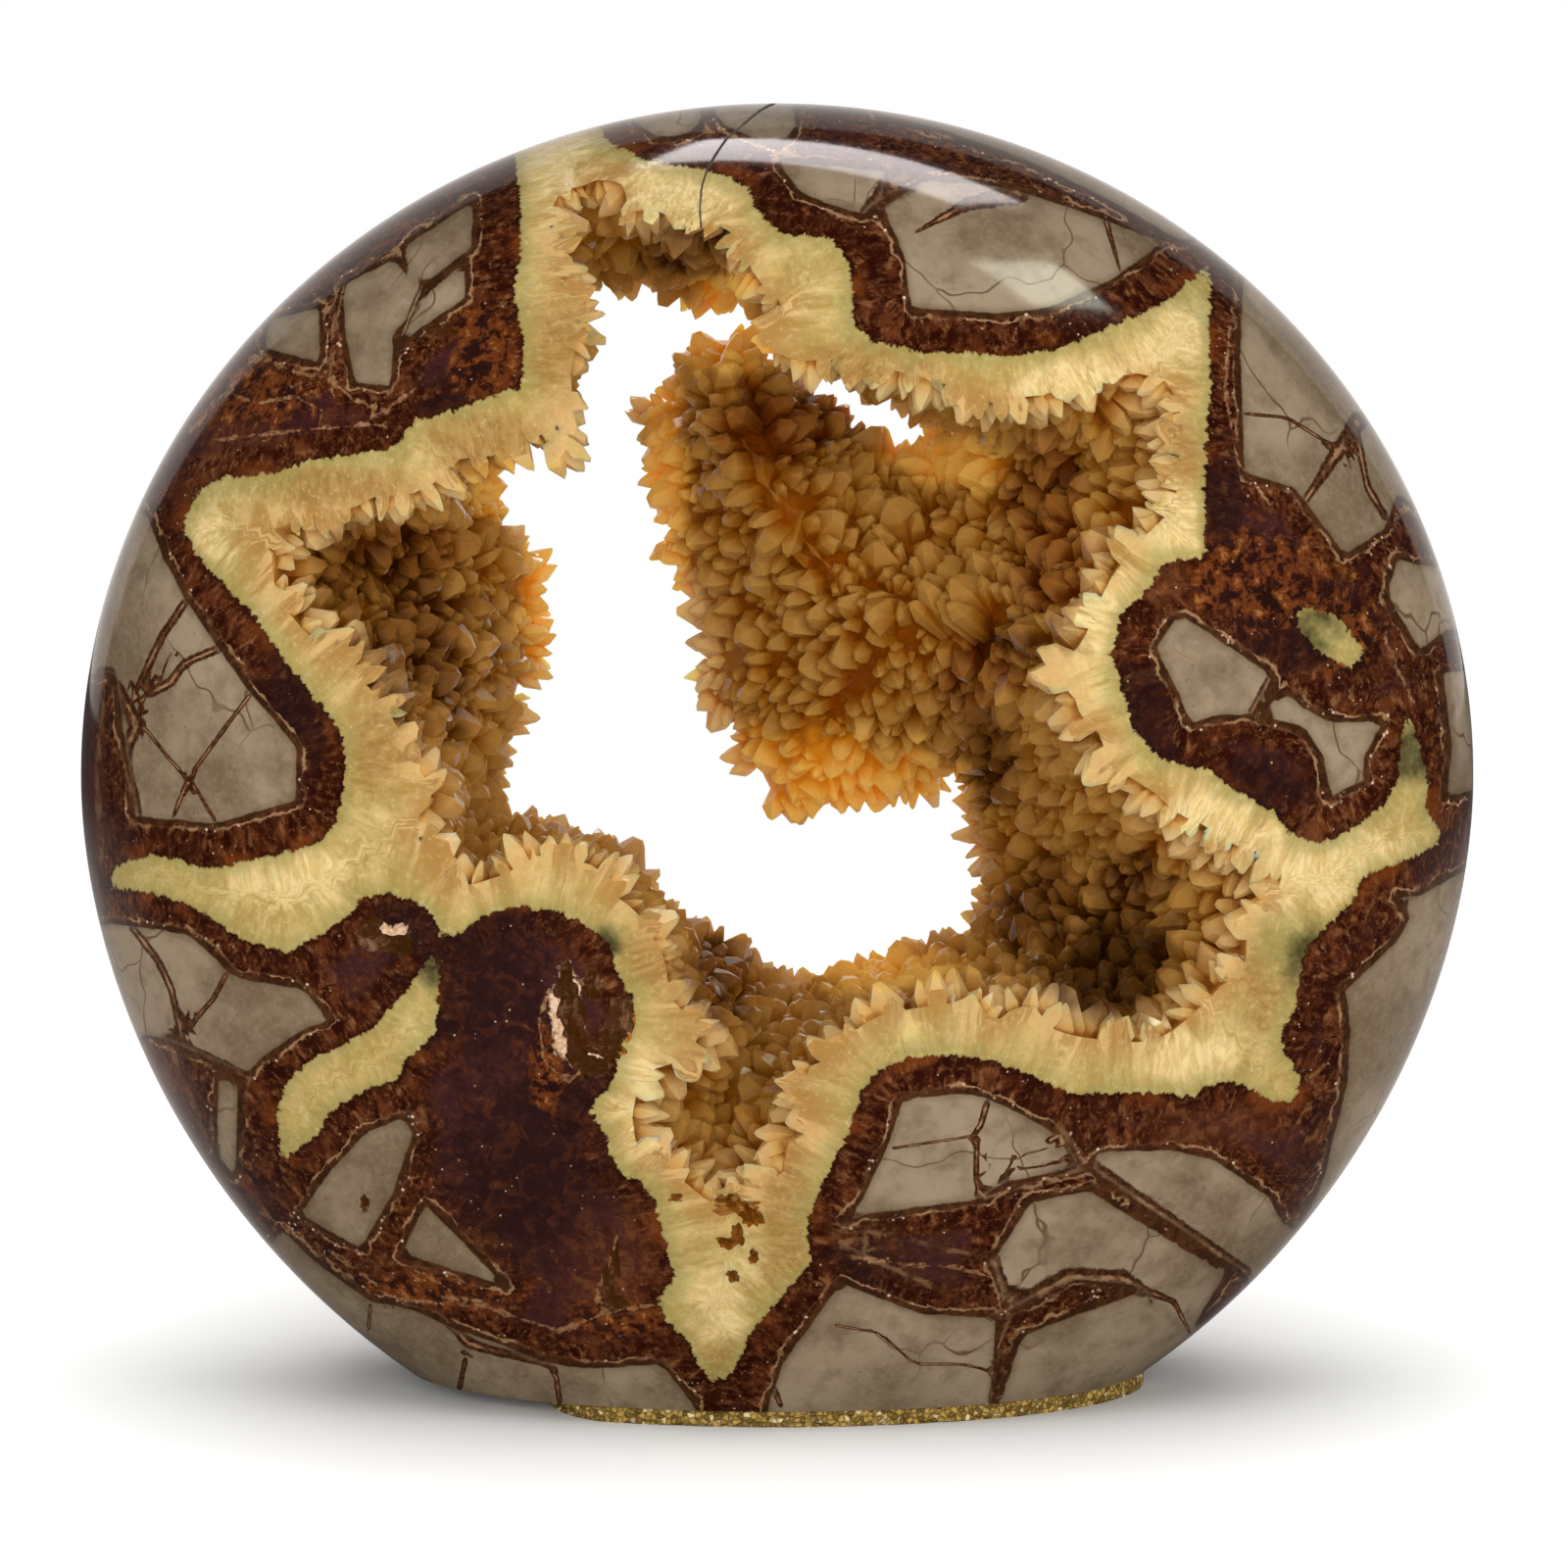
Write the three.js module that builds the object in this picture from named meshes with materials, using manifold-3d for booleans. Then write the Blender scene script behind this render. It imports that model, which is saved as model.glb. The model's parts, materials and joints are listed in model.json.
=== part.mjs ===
// Septarian nodule, cut and polished on its two faces and its rim, standing on its ground flat spot.
// Millimetres, +X right, +Y to the back, +Z up. The origin is on the surface that it stands on,
// under the middle of the stone.
//
// The stone is one grown body. A star shaped crack opens through it from face to face: wide at the
// front, and a narrower bent slit round a tongue of rock at the back. The crack is cut here to the
// tips of the crystals that line it. A thin cork pad is glued under the flat spot.

import * as THREE from 'three';
import { mergeVertices } from 'three/addons/utils/BufferGeometryUtils.js';
import Module from 'manifold-3d';

const wasm = await Module();
wasm.setup();

// Driving dimensions of the stone
const HALF_WIDTH = 75;        // middle to either side
const CROWN_HEIGHT = 72.6;    // middle to the crown
const LOWER_REACH = 78;       // middle to where the underside would close, were it not ground flat
const LOWER_POWER = 1.9;      // how full the lower half's outline is, 2 being an ellipse
const HALF_DEPTH = 34;        // middle to either face
const FACE_POWER = 2.4;       // how flat the faces are
const RIM_POWER = 2.2;        // how full the rim is
const BASE_DROP = 64.3;       // middle to the ground flat spot

// Driving dimensions of the pad
const PAD_THICKNESS = 1.5;
const GLUE_GAP = 0.3;         // kept clear between the pad and the stone
const PAD_INSET = 0.4;        // from the edge of the flat spot
const PAD_LEFT_END = -24.5;
const PAD_CORNER = 7;         // radius at the pad's left end

const MIDDLE_HEIGHT = PAD_THICKNESS + GLUE_GAP + BASE_DROP;

// How finely the stone's body is faceted
const OUTLINE_STEPS = 80;
const PROFILE_STEPS = 11;

// The crack is cut in three layers between the faces, each with an outline of its own
const FRONT_LAYER_END = -11;
const BACK_LAYER_START = 9;
const LAYER_OVERLAP = 0.5;
const PAST_FACE = 8;          // how far a cut runs out past a face

// Outlines of the crack, x and z from the stone's middle, clockwise seen from the front
const FRONT_OUTLINE = [
  [-22, 62], [-17, 63], [-12, 60], [-7, 60], [-4, 55], [0, 50], [-3, 47], [2, 45],
  [20, 41], [25, 41], [31, 43], [40, 43], [39, 32], [34, 27], [29, 18], [27, 14],
  [29, 9], [33, 4], [40, -2], [51, -7], [47, -12], [45, -17], [38, -22], [31, -21],
  [25, -17], [20, -17], [9, -19], [5, -24], [0, -30], [0, -36], [-6, -41], [-13, -33],
  [-13, -29], [-7, -21], [-10, -14], [-13, -7], [-18, -3], [-26, -1], [-32, -5], [-36, -1],
  [-32, 4], [-37, 7], [-38, 12], [-41, 17], [-48, 20], [-53, 28], [-48, 30], [-41, 31],
  [-31, 35], [-26, 36], [-20, 36], [-18, 41], [-19, 46], [-18, 50], [-20, 56],
];
const MIDDLE_OUTLINE = [
  [-19, 52], [-16, 56], [-10, 55], [-7, 53.5], [-1, 51.5], [0, 48], [9, 42], [20, 39.5],
  [30, 38], [33, 36], [33, 33], [30, 29], [22, 24], [14, 20], [9, 17], [9, 15],
  [14, 13], [22, 11], [29, 10.5], [31, 6], [31, -4], [33, -10], [29, -13], [23, -17],
  [11, -20.5], [3, -26], [-5, -28], [-7, -21], [-14, -10], [-20, -6.5], [-26, -5], [-32, -5],
  [-33, -1], [-31, 4], [-32, 11], [-32, 17], [-35, 21], [-37, 24], [-35, 30], [-32, 34],
  [-23, 40], [-21, 48],
];
const BACK_OUTLINE = [
  [-21, 53], [-15, 52], [-9, 50.5], [-2, 51], [3, 46.5], [9, 41.5], [15, 39], [24, 37],
  [28, 33], [23, 32.5], [12.5, 34], [8, 37], [4, 40.5], [-2, 45.5], [-6.5, 48], [-10, 46],
  [-13, 42], [-19, 37.5], [-15, 34], [-15, 30], [-13, 26], [-14.5, 22.5], [-10, 16], [-10, 8],
  [-5.5, 1], [-6.5, -3], [-1, -8.5], [7, -8.5], [12, -6], [17.5, -6.5], [21, -2.5], [23, 3],
  [27, 7.5], [28.5, 11.5], [31.5, 11], [31, 7.5], [27.5, 2], [24.5, -3], [22, -6.5], [23.5, -13.5],
  [23, -18.5], [19, -20.5], [10.5, -22.5], [1.5, -26], [-2.5, -23.5], [-9.5, -19.5], [-15.5, -12], [-23, -10],
  [-29.5, -7], [-33, -6], [-30.5, -1], [-28, 7.5], [-25, 12.5], [-25.5, 20], [-29.5, 26], [-32.5, 31],
  [-32.5, 34], [-28, 41], [-24, 48],
];

// Finishes
const STONE_COLOUR = 0x8a6a4a;
const PAD_COLOUR = 0x82733c;

// Distance from the middle to the stone's outline, in the direction (across, up)
function outlineReach(across, up) {
  if (up >= 0) {
    return 1 / Math.hypot(across / HALF_WIDTH, up / CROWN_HEIGHT);
  }
  const sum = Math.abs(across / HALF_WIDTH) ** LOWER_POWER + Math.abs(up / LOWER_REACH) ** LOWER_POWER;
  return sum ** (-1 / LOWER_POWER);
}

// Middle to face, at a share of the way from the middle to the outline
function faceDepth(share) {
  return HALF_DEPTH * Math.max(0, 1 - share ** FACE_POWER) ** (1 / RIM_POWER);
}

// A closed geometry with its shared vertices merged, as a solid that can be joined and cut
function toSolid(geometry) {
  const bare = geometry.clone();
  bare.deleteAttribute('normal');
  bare.deleteAttribute('uv');
  const merged = mergeVertices(bare, 1e-5);
  return new wasm.Manifold(new wasm.Mesh({
    numProp: 3,
    vertProperties: new Float32Array(merged.attributes.position.array),
    triVerts: new Uint32Array(merged.index.array),
  }));
}

function toGeometry(solid) {
  const mesh = solid.getMesh();
  const geometry = new THREE.BufferGeometry();
  geometry.setAttribute('position', new THREE.BufferAttribute(new Float32Array(mesh.vertProperties), 3));
  geometry.setIndex(new THREE.BufferAttribute(new Uint32Array(mesh.triVerts), 1));
  geometry.computeVertexNormals();
  return geometry;
}

// The whole stone before its crack and its flat spot: a lathed lens, drawn out to the outline
function lensGeometry() {
  const profile = [];
  for (let step = -PROFILE_STEPS; step <= PROFILE_STEPS; step += 1) {
    const turn = (step / PROFILE_STEPS) * (Math.PI / 2);
    const share = step === PROFILE_STEPS || step === -PROFILE_STEPS ? 0 : Math.cos(turn) ** (2 / FACE_POWER);
    const depth = Math.sign(step) * faceDepth(share);
    profile.push(new THREE.Vector2(share, depth));
  }
  const geometry = new THREE.LatheGeometry(profile, OUTLINE_STEPS);
  const place = geometry.attributes.position;
  for (let index = 0; index < place.count; index += 1) {
    const share = Math.hypot(place.getX(index), place.getZ(index));
    if (share > 1e-9) {
      const across = place.getX(index) / share;
      const up = place.getZ(index) / share;
      const reach = share * outlineReach(across, up);
      place.setXYZ(index, across * reach, place.getY(index), up * reach);
    }
  }
  return geometry;
}

// A straight cut through the stone along Y, between two depths, with the given outline
function crackLayer(outline, from, to) {
  const shape = new THREE.Shape(outline.map(([x, z]) => new THREE.Vector2(x, z)));
  const geometry = new THREE.ExtrudeGeometry(shape, { depth: to - from, bevelEnabled: false });
  geometry.rotateX(Math.PI / 2);
  geometry.translate(0, to, 0);
  return toSolid(geometry);
}

function noduleGeometry() {
  const room = 2 * HALF_WIDTH;
  const belowBase = new THREE.BoxGeometry(2 * room, room, room);
  belowBase.translate(0, 0, -BASE_DROP - room / 2);
  const face = HALF_DEPTH + PAST_FACE;
  const stone = toSolid(lensGeometry())
    .subtract(toSolid(belowBase))
    .subtract(crackLayer(FRONT_OUTLINE, -face, FRONT_LAYER_END))
    .subtract(crackLayer(MIDDLE_OUTLINE, FRONT_LAYER_END - LAYER_OVERLAP, BACK_LAYER_START + LAYER_OVERLAP))
    .subtract(crackLayer(BACK_OUTLINE, BACK_LAYER_START, face));
  return toGeometry(stone);
}

// Half the flat spot's depth at a distance across from the middle
function flatSpotHalfDepth(across) {
  const slope = Math.hypot(across, BASE_DROP);
  const share = slope / outlineReach(across / slope, -BASE_DROP / slope);
  return share < 1 ? faceDepth(share) : 0;
}

// The pad follows the edge of the flat spot, and ends in a straight cut with round corners on the left
function padGeometry() {
  const steps = 22;
  let rightEnd = HALF_WIDTH;
  while (flatSpotHalfDepth(rightEnd) <= PAD_INSET) {
    rightEnd -= PAD_INSET / 8;
  }
  const edge = [];
  for (let step = 0; step <= steps; step += 1) {
    const across = rightEnd + (PAD_LEFT_END - rightEnd) * Math.sin((step / steps) * (Math.PI / 2)) ** 2;
    edge.push([across, flatSpotHalfDepth(across) - PAD_INSET]);
  }
  const leftEdge = flatSpotHalfDepth(PAD_LEFT_END) - PAD_INSET;
  const back = edge.filter(([across]) => across > PAD_LEFT_END + PAD_CORNER);
  const shape = new THREE.Shape();
  back.forEach(([across, depth], index) => {
    if (index === 0) {
      shape.moveTo(across, 0);
    }
    shape.lineTo(across, depth);
  });
  shape.quadraticCurveTo(PAD_LEFT_END, leftEdge, PAD_LEFT_END, leftEdge - PAD_CORNER);
  shape.lineTo(PAD_LEFT_END, PAD_CORNER - leftEdge);
  const frontStart = back[back.length - 1];
  shape.quadraticCurveTo(PAD_LEFT_END, -leftEdge, frontStart[0], -frontStart[1]);
  for (let index = back.length - 2; index >= 0; index -= 1) {
    shape.lineTo(back[index][0], -back[index][1]);
  }
  return new THREE.ExtrudeGeometry(shape, { depth: PAD_THICKNESS, bevelEnabled: false, curveSegments: 5 });
}

const septarianNodule = new THREE.Group();

const nodule = new THREE.Mesh(
  noduleGeometry(),
  new THREE.MeshStandardMaterial({ color: STONE_COLOUR, roughness: 0.18, metalness: 0 }),
);
nodule.name = 'nodule';
nodule.position.z = MIDDLE_HEIGHT;
septarianNodule.add(nodule);

const basePad = new THREE.Mesh(
  padGeometry(),
  new THREE.MeshStandardMaterial({ color: PAD_COLOUR, roughness: 0.95, metalness: 0 }),
);
basePad.name = 'base_pad';
septarianNodule.add(basePad);

export default septarianNodule;
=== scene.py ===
"""Looks of the septarian nodule: a polished stone with a crystal lined crack right through it, on a cork pad.

Shapes are worked out in millimetres about the stone's middle, then put in the row frame in metres.
Outlines on the stone are given in the view's own pixels, of a 1600 x 1600 frame, and are laid on the
stone through the camera. The stone is one closed mesh: a polished body, less the crack, plus the crystals
that grow on the crack's walls, all cut off flush with the polished faces.
"""

from contextlib import contextmanager
import json
import math
from types import SimpleNamespace

import bmesh
import bpy
import numpy as np
from mathutils import Matrix, Vector

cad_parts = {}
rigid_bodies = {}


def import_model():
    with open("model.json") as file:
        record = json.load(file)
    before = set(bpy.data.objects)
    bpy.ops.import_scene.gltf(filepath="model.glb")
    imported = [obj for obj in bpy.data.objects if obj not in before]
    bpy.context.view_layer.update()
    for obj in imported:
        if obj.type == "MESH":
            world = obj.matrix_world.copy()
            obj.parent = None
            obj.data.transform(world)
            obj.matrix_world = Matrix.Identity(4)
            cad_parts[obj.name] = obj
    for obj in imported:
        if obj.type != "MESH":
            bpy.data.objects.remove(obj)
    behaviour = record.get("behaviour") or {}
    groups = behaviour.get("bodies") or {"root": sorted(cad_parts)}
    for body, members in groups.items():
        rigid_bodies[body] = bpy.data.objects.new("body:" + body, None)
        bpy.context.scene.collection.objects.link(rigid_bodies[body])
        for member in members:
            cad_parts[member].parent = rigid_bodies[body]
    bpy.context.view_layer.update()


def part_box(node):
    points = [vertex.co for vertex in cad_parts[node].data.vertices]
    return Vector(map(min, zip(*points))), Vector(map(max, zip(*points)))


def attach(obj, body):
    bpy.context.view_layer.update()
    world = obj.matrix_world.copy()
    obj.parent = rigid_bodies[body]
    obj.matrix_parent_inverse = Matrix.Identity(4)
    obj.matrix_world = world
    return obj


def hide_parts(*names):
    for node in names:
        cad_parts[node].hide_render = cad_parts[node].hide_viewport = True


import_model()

MM = 0.001

# ---------------------------------------------------------------- the stone's own sizes, in millimetres
HALF_WIDTH = 75.0
CROWN_HEIGHT = 72.6
LOWER_REACH = 78.0
LOWER_POWER = 1.9
HALF_DEPTH = 34.0
FACE_POWER = 2.4
RIM_POWER = 2.2
NODE_LOW, NODE_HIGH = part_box("nodule")
MIDDLE_HEIGHT = NODE_HIGH.z / MM - CROWN_HEIGHT
BASE_DROP = MIDDLE_HEIGHT - NODE_LOW.z / MM
PAD_LOW, PAD_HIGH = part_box("base_pad")

# ---------------------------------------------------------------- the camera
VIEW_FRAME = 1600.0                   # pixels on each side of the frame
VIEW_MIDDLE = (793.0, 797.0)          # where the stone's middle shows
VIEW_DISTANCE = 520.0                 # millimetres from the stone's middle
VIEW_ELEVATION = math.radians(6.8)
PIXEL = 0.106                         # millimetres to a pixel at the stone's middle
FOCAL_PIXELS = VIEW_DISTANCE / PIXEL
SENSOR_WIDTH = 36.0

EYE = np.array([0.0, -VIEW_DISTANCE * math.cos(VIEW_ELEVATION), VIEW_DISTANCE * math.sin(VIEW_ELEVATION)])
FORWARD = -EYE / VIEW_DISTANCE
RIGHTWARD = np.array([1.0, 0.0, 0.0])
UPWARD = np.cross(RIGHTWARD, FORWARD)


def view_pixels(points):
    """Where points about the stone's middle show in the view, as columns and rows."""
    sight = points - EYE
    depth = sight @ FORWARD
    column = VIEW_MIDDLE[0] + FOCAL_PIXELS * (sight @ RIGHTWARD) / depth
    row = VIEW_MIDDLE[1] - FOCAL_PIXELS * (sight @ UPWARD) / depth
    return np.stack([column, row], -1)


def smooth_step(value, low, high):
    part = np.clip((value - low) / (high - low), 0, 1)
    return part * part * (3 - 2 * part)


def outline_share(across, up):
    """How far out a point is, from 0 at the middle to 1 on the stone's outline."""
    top = np.hypot(across / HALF_WIDTH, np.maximum(up, 0) / CROWN_HEIGHT)
    low = np.abs(across / HALF_WIDTH) ** LOWER_POWER + np.abs(np.minimum(up, 0) / LOWER_REACH) ** LOWER_POWER
    return np.where(up >= 0, top, low ** (1 / LOWER_POWER))


def face_depth(share):
    """Middle to face at that share of the way out."""
    return HALF_DEPTH * np.clip(1 - share ** FACE_POWER, 0, None) ** (1 / RIM_POWER)


def depth_under_face(points):
    """How far a point is from the nearer polished face, straight along Y; negative outside the stone."""
    share = outline_share(points[..., 0], points[..., 2])
    return face_depth(np.minimum(share, 1)) - np.abs(points[..., 1])


def on_front_face(column, row):
    """The point of the front face that shows at a pixel."""
    aim = FORWARD + RIGHTWARD * (column - VIEW_MIDDLE[0]) / FOCAL_PIXELS
    aim = aim + UPWARD * (VIEW_MIDDLE[1] - row) / FOCAL_PIXELS
    depth = -0.8 * HALF_DEPTH
    for _ in range(40):
        point = EYE + aim * (depth - EYE[1]) / aim[1]
        depth = 0.5 * depth - 0.5 * float(face_depth(outline_share(point[0], point[2])))
    return point


# ---------------------------------------------------------------- outlines, in view pixels
FRONT_OPENING = (
    (578, 210), (600, 205), (623, 192), (627, 205), (617, 240), (624, 248), (640, 235), (670, 223),
    (685, 258), (703, 250), (716, 220), (721, 248), (743, 248), (746, 279), (769, 309), (789, 322),
    (761, 348), (769, 363), (802, 381), (828, 386), (850, 383), (930, 400), (993, 419), (1003, 432),
    (1042, 422), (1080, 419), (1108, 399), (1128, 422), (1146, 391), (1164, 396), (1190, 403),
    (1188, 478), (1185, 514), (1162, 529), (1139, 557), (1123, 575), (1111, 601), (1100, 621),
    (1090, 652), (1065, 674), (1062, 695), (1083, 718), (1085, 748), (1111, 754), (1113, 779),
    (1121, 799), (1144, 807), (1181, 829), (1189, 849), (1222, 852), (1240, 872), (1296, 890),
    (1293, 911), (1260, 924), (1258, 983), (1240, 993), (1219, 1013), (1191, 1039), (1176, 1049),
    (1128, 1046), (1099, 1042), (1071, 1030), (1058, 1007), (1035, 1009), (1015, 1030), (1002, 989),
    (982, 1007), (941, 1009), (882, 1022), (857, 1040), (844, 1070), (816, 1065), (800, 1108),
    (813, 1135), (819, 1152), (779, 1148), (784, 1170), (796, 1187), (764, 1191), (768, 1215),
    (735, 1218), (698, 1186), (661, 1162), (661, 1130), (672, 1104), (714, 1096), (721, 1073),
    (739, 1040), (716, 1025), (701, 1020), (698, 979), (688, 959), (668, 928), (668, 910), (635, 902),
    (635, 869), (617, 867), (575, 858), (530, 851), (522, 874), (502, 877), (470, 890), (437, 843),
    (452, 828), (473, 794), (450, 787), (419, 769), (429, 754), (414, 723), (409, 710), (384, 690),
    (378, 662), (343, 652), (312, 626), (302, 608), (289, 583), (292, 555), (271, 544), (297, 552),
    (317, 534), (363, 542), (384, 519), (414, 524), (447, 514), (480, 481), (514, 488), (534, 460),
    (575, 475), (595, 468), (585, 422), (613, 417), (600, 391), (603, 378), (600, 360), (616, 345),
    (606, 330), (616, 302), (583, 284), (616, 266), (595, 253), (578, 243),
)
BACK_OPENING = (
    (600, 290), (616, 302), (659, 298), (687, 312), (713, 321), (738, 312), (771, 309), (800, 330),
    (826, 352), (870, 397), (906, 414), (936, 424), (956, 438), (948, 453), (905, 453), (876, 432),
    (840, 402), (800, 378), (775, 352), (745, 327), (733, 327), (700, 355), (674, 388), (674, 406),
    (646, 417), (631, 429), (667, 455), (654, 467), (667, 482), (652, 497), (669, 512), (674, 530),
    (662, 553), (662, 579), (690, 584), (705, 614), (695, 630), (708, 655), (703, 676), (713, 688),
    (705, 701), (713, 727), (733, 739), (743, 760), (736, 793), (761, 790), (787, 842), (830, 838),
    (855, 843), (868, 830), (901, 822), (950, 825), (958, 805), (976, 797), (984, 823), (979, 854),
    (1002, 889), (990, 907), (999, 933), (984, 953), (961, 948), (928, 963), (887, 968), (874, 986),
    (844, 989), (808, 999), (803, 979), (770, 976), (750, 948), (709, 941), (670, 908), (653, 874),
    (612, 854), (589, 854), (566, 834), (528, 831), (497, 821), (517, 795), (519, 778), (534, 747),
    (544, 701), (560, 683), (570, 658), (555, 640), (562, 589), (544, 553), (527, 535), (511, 502),
    (500, 490), (505, 462), (545, 400), (575, 340),
)
FRONT_CALCITE = (
    (525, 90), (613, 90), (613, 131), (616, 138), (639, 159), (726, 174), (766, 192), (771, 215),
    (799, 238), (850, 243), (868, 274), (872, 335), (914, 363), (973, 358), (1016, 365), (1080, 355),
    (1123, 337), (1192, 307), (1230, 271), (1237, 268), (1234, 332), (1235, 412), (1228, 436),
    (1231, 568), (1189, 574), (1166, 609), (1146, 622), (1133, 668), (1143, 693), (1156, 744),
    (1184, 775), (1230, 783), (1260, 806), (1306, 831), (1314, 849), (1339, 859), (1362, 857),
    (1408, 824), (1426, 796), (1431, 750), (1436, 728), (1449, 762), (1459, 801), (1454, 826),
    (1472, 849), (1467, 862), (1439, 876), (1390, 896), (1383, 916), (1352, 947), (1329, 970),
    (1322, 1029), (1309, 1049), (1309, 1074), (1327, 1095), (1322, 1123), (1299, 1126), (1273, 1110),
    (1253, 1103), (1227, 1110), (1217, 1118), (1166, 1115), (1091, 1116), (1061, 1101), (1010, 1081),
    (959, 1076), (913, 1083), (882, 1106), (864, 1162), (844, 1198), (832, 1221), (824, 1250),
    (827, 1290), (800, 1320), (771, 1354), (749, 1395), (733, 1411), (720, 1405), (701, 1368),
    (685, 1354), (669, 1328), (688, 1304), (674, 1250), (661, 1202), (634, 1178), (599, 1132),
    (612, 1119), (627, 1101), (632, 1068), (645, 1050), (645, 1020), (632, 997), (619, 959), (579, 933),
    (535, 925), (502, 931), (466, 953), (451, 959), (450, 979), (447, 1009), (445, 1055), (412, 1083),
    (409, 1101), (368, 1114), (335, 1137), (330, 1152), (299, 1178), (289, 1190), (282, 1134),
    (297, 1098), (320, 1081), (361, 1060), (384, 1045), (417, 1009), (429, 989), (450, 963), (447, 938),
    (424, 920), (394, 912), (368, 917), (358, 933), (325, 956), (292, 971), (253, 963), (233, 948),
    (190, 922), (149, 910), (108, 906), (118, 884), (157, 871), (182, 877), (210, 887), (259, 877),
    (322, 861), (338, 848), (350, 813), (353, 769), (343, 738), (307, 697), (259, 629), (202, 567),
    (185, 539), (200, 504), (223, 488), (276, 483), (322, 468), (404, 457), (417, 432), (450, 422),
    (501, 404), (532, 396), (534, 345), (524, 302), (532, 243), (529, 187), (525, 160),
)
CALCITE_ISLAND = ((1319, 627), (1339, 619), (1365, 630), (1396, 668), (1378, 683), (1350, 668), (1324, 642))
BACK_ARMS = (             # half width at either end in millimetres, then the arm's line
    (6.0, 1.2, ((590, 320), (560, 200), (572, 90))),
    (6.0, 0.6, ((1000, 430), (1130, 350), (1240, 262))),
    (6.5, 0.6, ((1060, 700), (1250, 850), (1450, 790))),
    (5.0, 0.8, ((990, 900), (1180, 1040), (1330, 1120))),
    (6.5, 0.6, ((800, 980), (770, 1200), (730, 1430))),
    (5.5, 0.8, ((520, 820), (320, 900), (90, 905))),
    (5.0, 0.5, ((540, 560), (340, 520), (185, 500))),
)
MUDSTONE_BLOCKS = (
    ((274, 327), (325, 314), (327, 370), (271, 355)),
    ((350, 291), (399, 266), (429, 294), (422, 317), (401, 340), (399, 394), (363, 391), (353, 345)),
    ((412, 253), (483, 205), (481, 253), (432, 289), (417, 269)),
    ((437, 299), (473, 269), (475, 304), (407, 350)),
    ((647, 110), (647, 124), (668, 138), (690, 140), (710, 131), (716, 118), (700, 90)),
    ((729, 90), (729, 114), (740, 128), (760, 137), (785, 144), (800, 143), (812, 128), (806, 90)),
    ((870, 90), (900, 117), (965, 133), (1040, 160), (1105, 190), (1165, 222), (1205, 246), (1270, 225),
     (1080, 90)),
    ((794, 164), (905, 175), (899, 202), (881, 218), (850, 210), (815, 195)),
    ((929, 314), (924, 263), (907, 225), (902, 212), (942, 184), (1009, 189), (1047, 197), (1123, 223),
     (1187, 248), (1136, 284), (1070, 314), (1019, 320), (973, 317)),
    ((1268, 287), (1300, 250), (1400, 300), (1500, 420), (1520, 500), (1470, 530), (1426, 504),
     (1417, 528), (1412, 540), (1372, 566), (1334, 514), (1320, 497), (1270, 483), (1266, 365)),
    ((1179, 663), (1199, 632), (1209, 630), (1296, 688), (1296, 696), (1276, 729), (1242, 729),
     (1214, 739), (1202, 704)),
    ((1314, 709), (1329, 722), (1357, 737), (1411, 737), (1390, 775), (1393, 795), (1357, 813),
     (1352, 775), (1332, 742), (1283, 729)),
    ((1426, 571), (1462, 579), (1540, 560), (1560, 640), (1477, 642), (1449, 663), (1424, 622),
     (1416, 604)),
    ((1472, 686), (1560, 680), (1560, 800), (1503, 806), (1477, 813), (1482, 762)),
    ((1560, 880), (1495, 888), (1449, 914), (1424, 916), (1441, 932), (1426, 960), (1390, 995),
     (1373, 1011), (1378, 1049), (1375, 1105), (1362, 1156), (1350, 1207), (1329, 1248), (1400, 1300),
     (1560, 1100)),
    ((922, 1121), (987, 1116), (1008, 1121), (1038, 1135), (1086, 1162), (1102, 1191), (1021, 1207),
     (1003, 1223), (882, 1239), (863, 1247), (879, 1226), (906, 1170)),
    ((1121, 1175), (1194, 1174), (1235, 1182), (1263, 1200), (1293, 1220), (1309, 1248), (1360, 1280),
     (1300, 1360), (1270, 1298), (1113, 1191)),
    ((1052, 1227), (1110, 1215), (1250, 1300), (1214, 1360), (1161, 1312), (1091, 1304), (1032, 1336),
     (1013, 1288)),
    ((859, 1310), (940, 1341), (1016, 1345), (1011, 1432), (1010, 1500), (790, 1500), (784, 1435),
     (800, 1389), (851, 1320)),
    ((1043, 1363), (1091, 1345), (1161, 1320), (1214, 1360), (1250, 1335), (1300, 1400), (1150, 1500),
     (1030, 1500), (1021, 1432)),
    ((60, 520), (149, 524), (167, 570), (190, 613), (223, 662), (256, 708), (302, 761), (302, 817),
     (220, 840), (139, 833), (118, 687), (40, 690)),
    ((60, 950), (113, 943), (134, 945), (190, 953), (218, 976), (233, 994), (259, 1002), (310, 1009),
     (335, 1042), (310, 1050), (271, 1076), (251, 1096), (187, 1068), (151, 1055), (80, 1080)),
    ((223, 1101), (243, 1104), (240, 1200), (222, 1180)),
    ((306, 1239), (338, 1194), (373, 1156), (413, 1140), (421, 1156), (402, 1215), (368, 1274)),
    ((434, 1229), (475, 1271), (515, 1312), (410, 1279)),
    ((287, 1255), (322, 1288), (378, 1328), (421, 1336), (464, 1357), (501, 1368), (552, 1389),
     (600, 1397), (674, 1392), (709, 1435), (720, 1500), (400, 1500), (230, 1340)),
)
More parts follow.
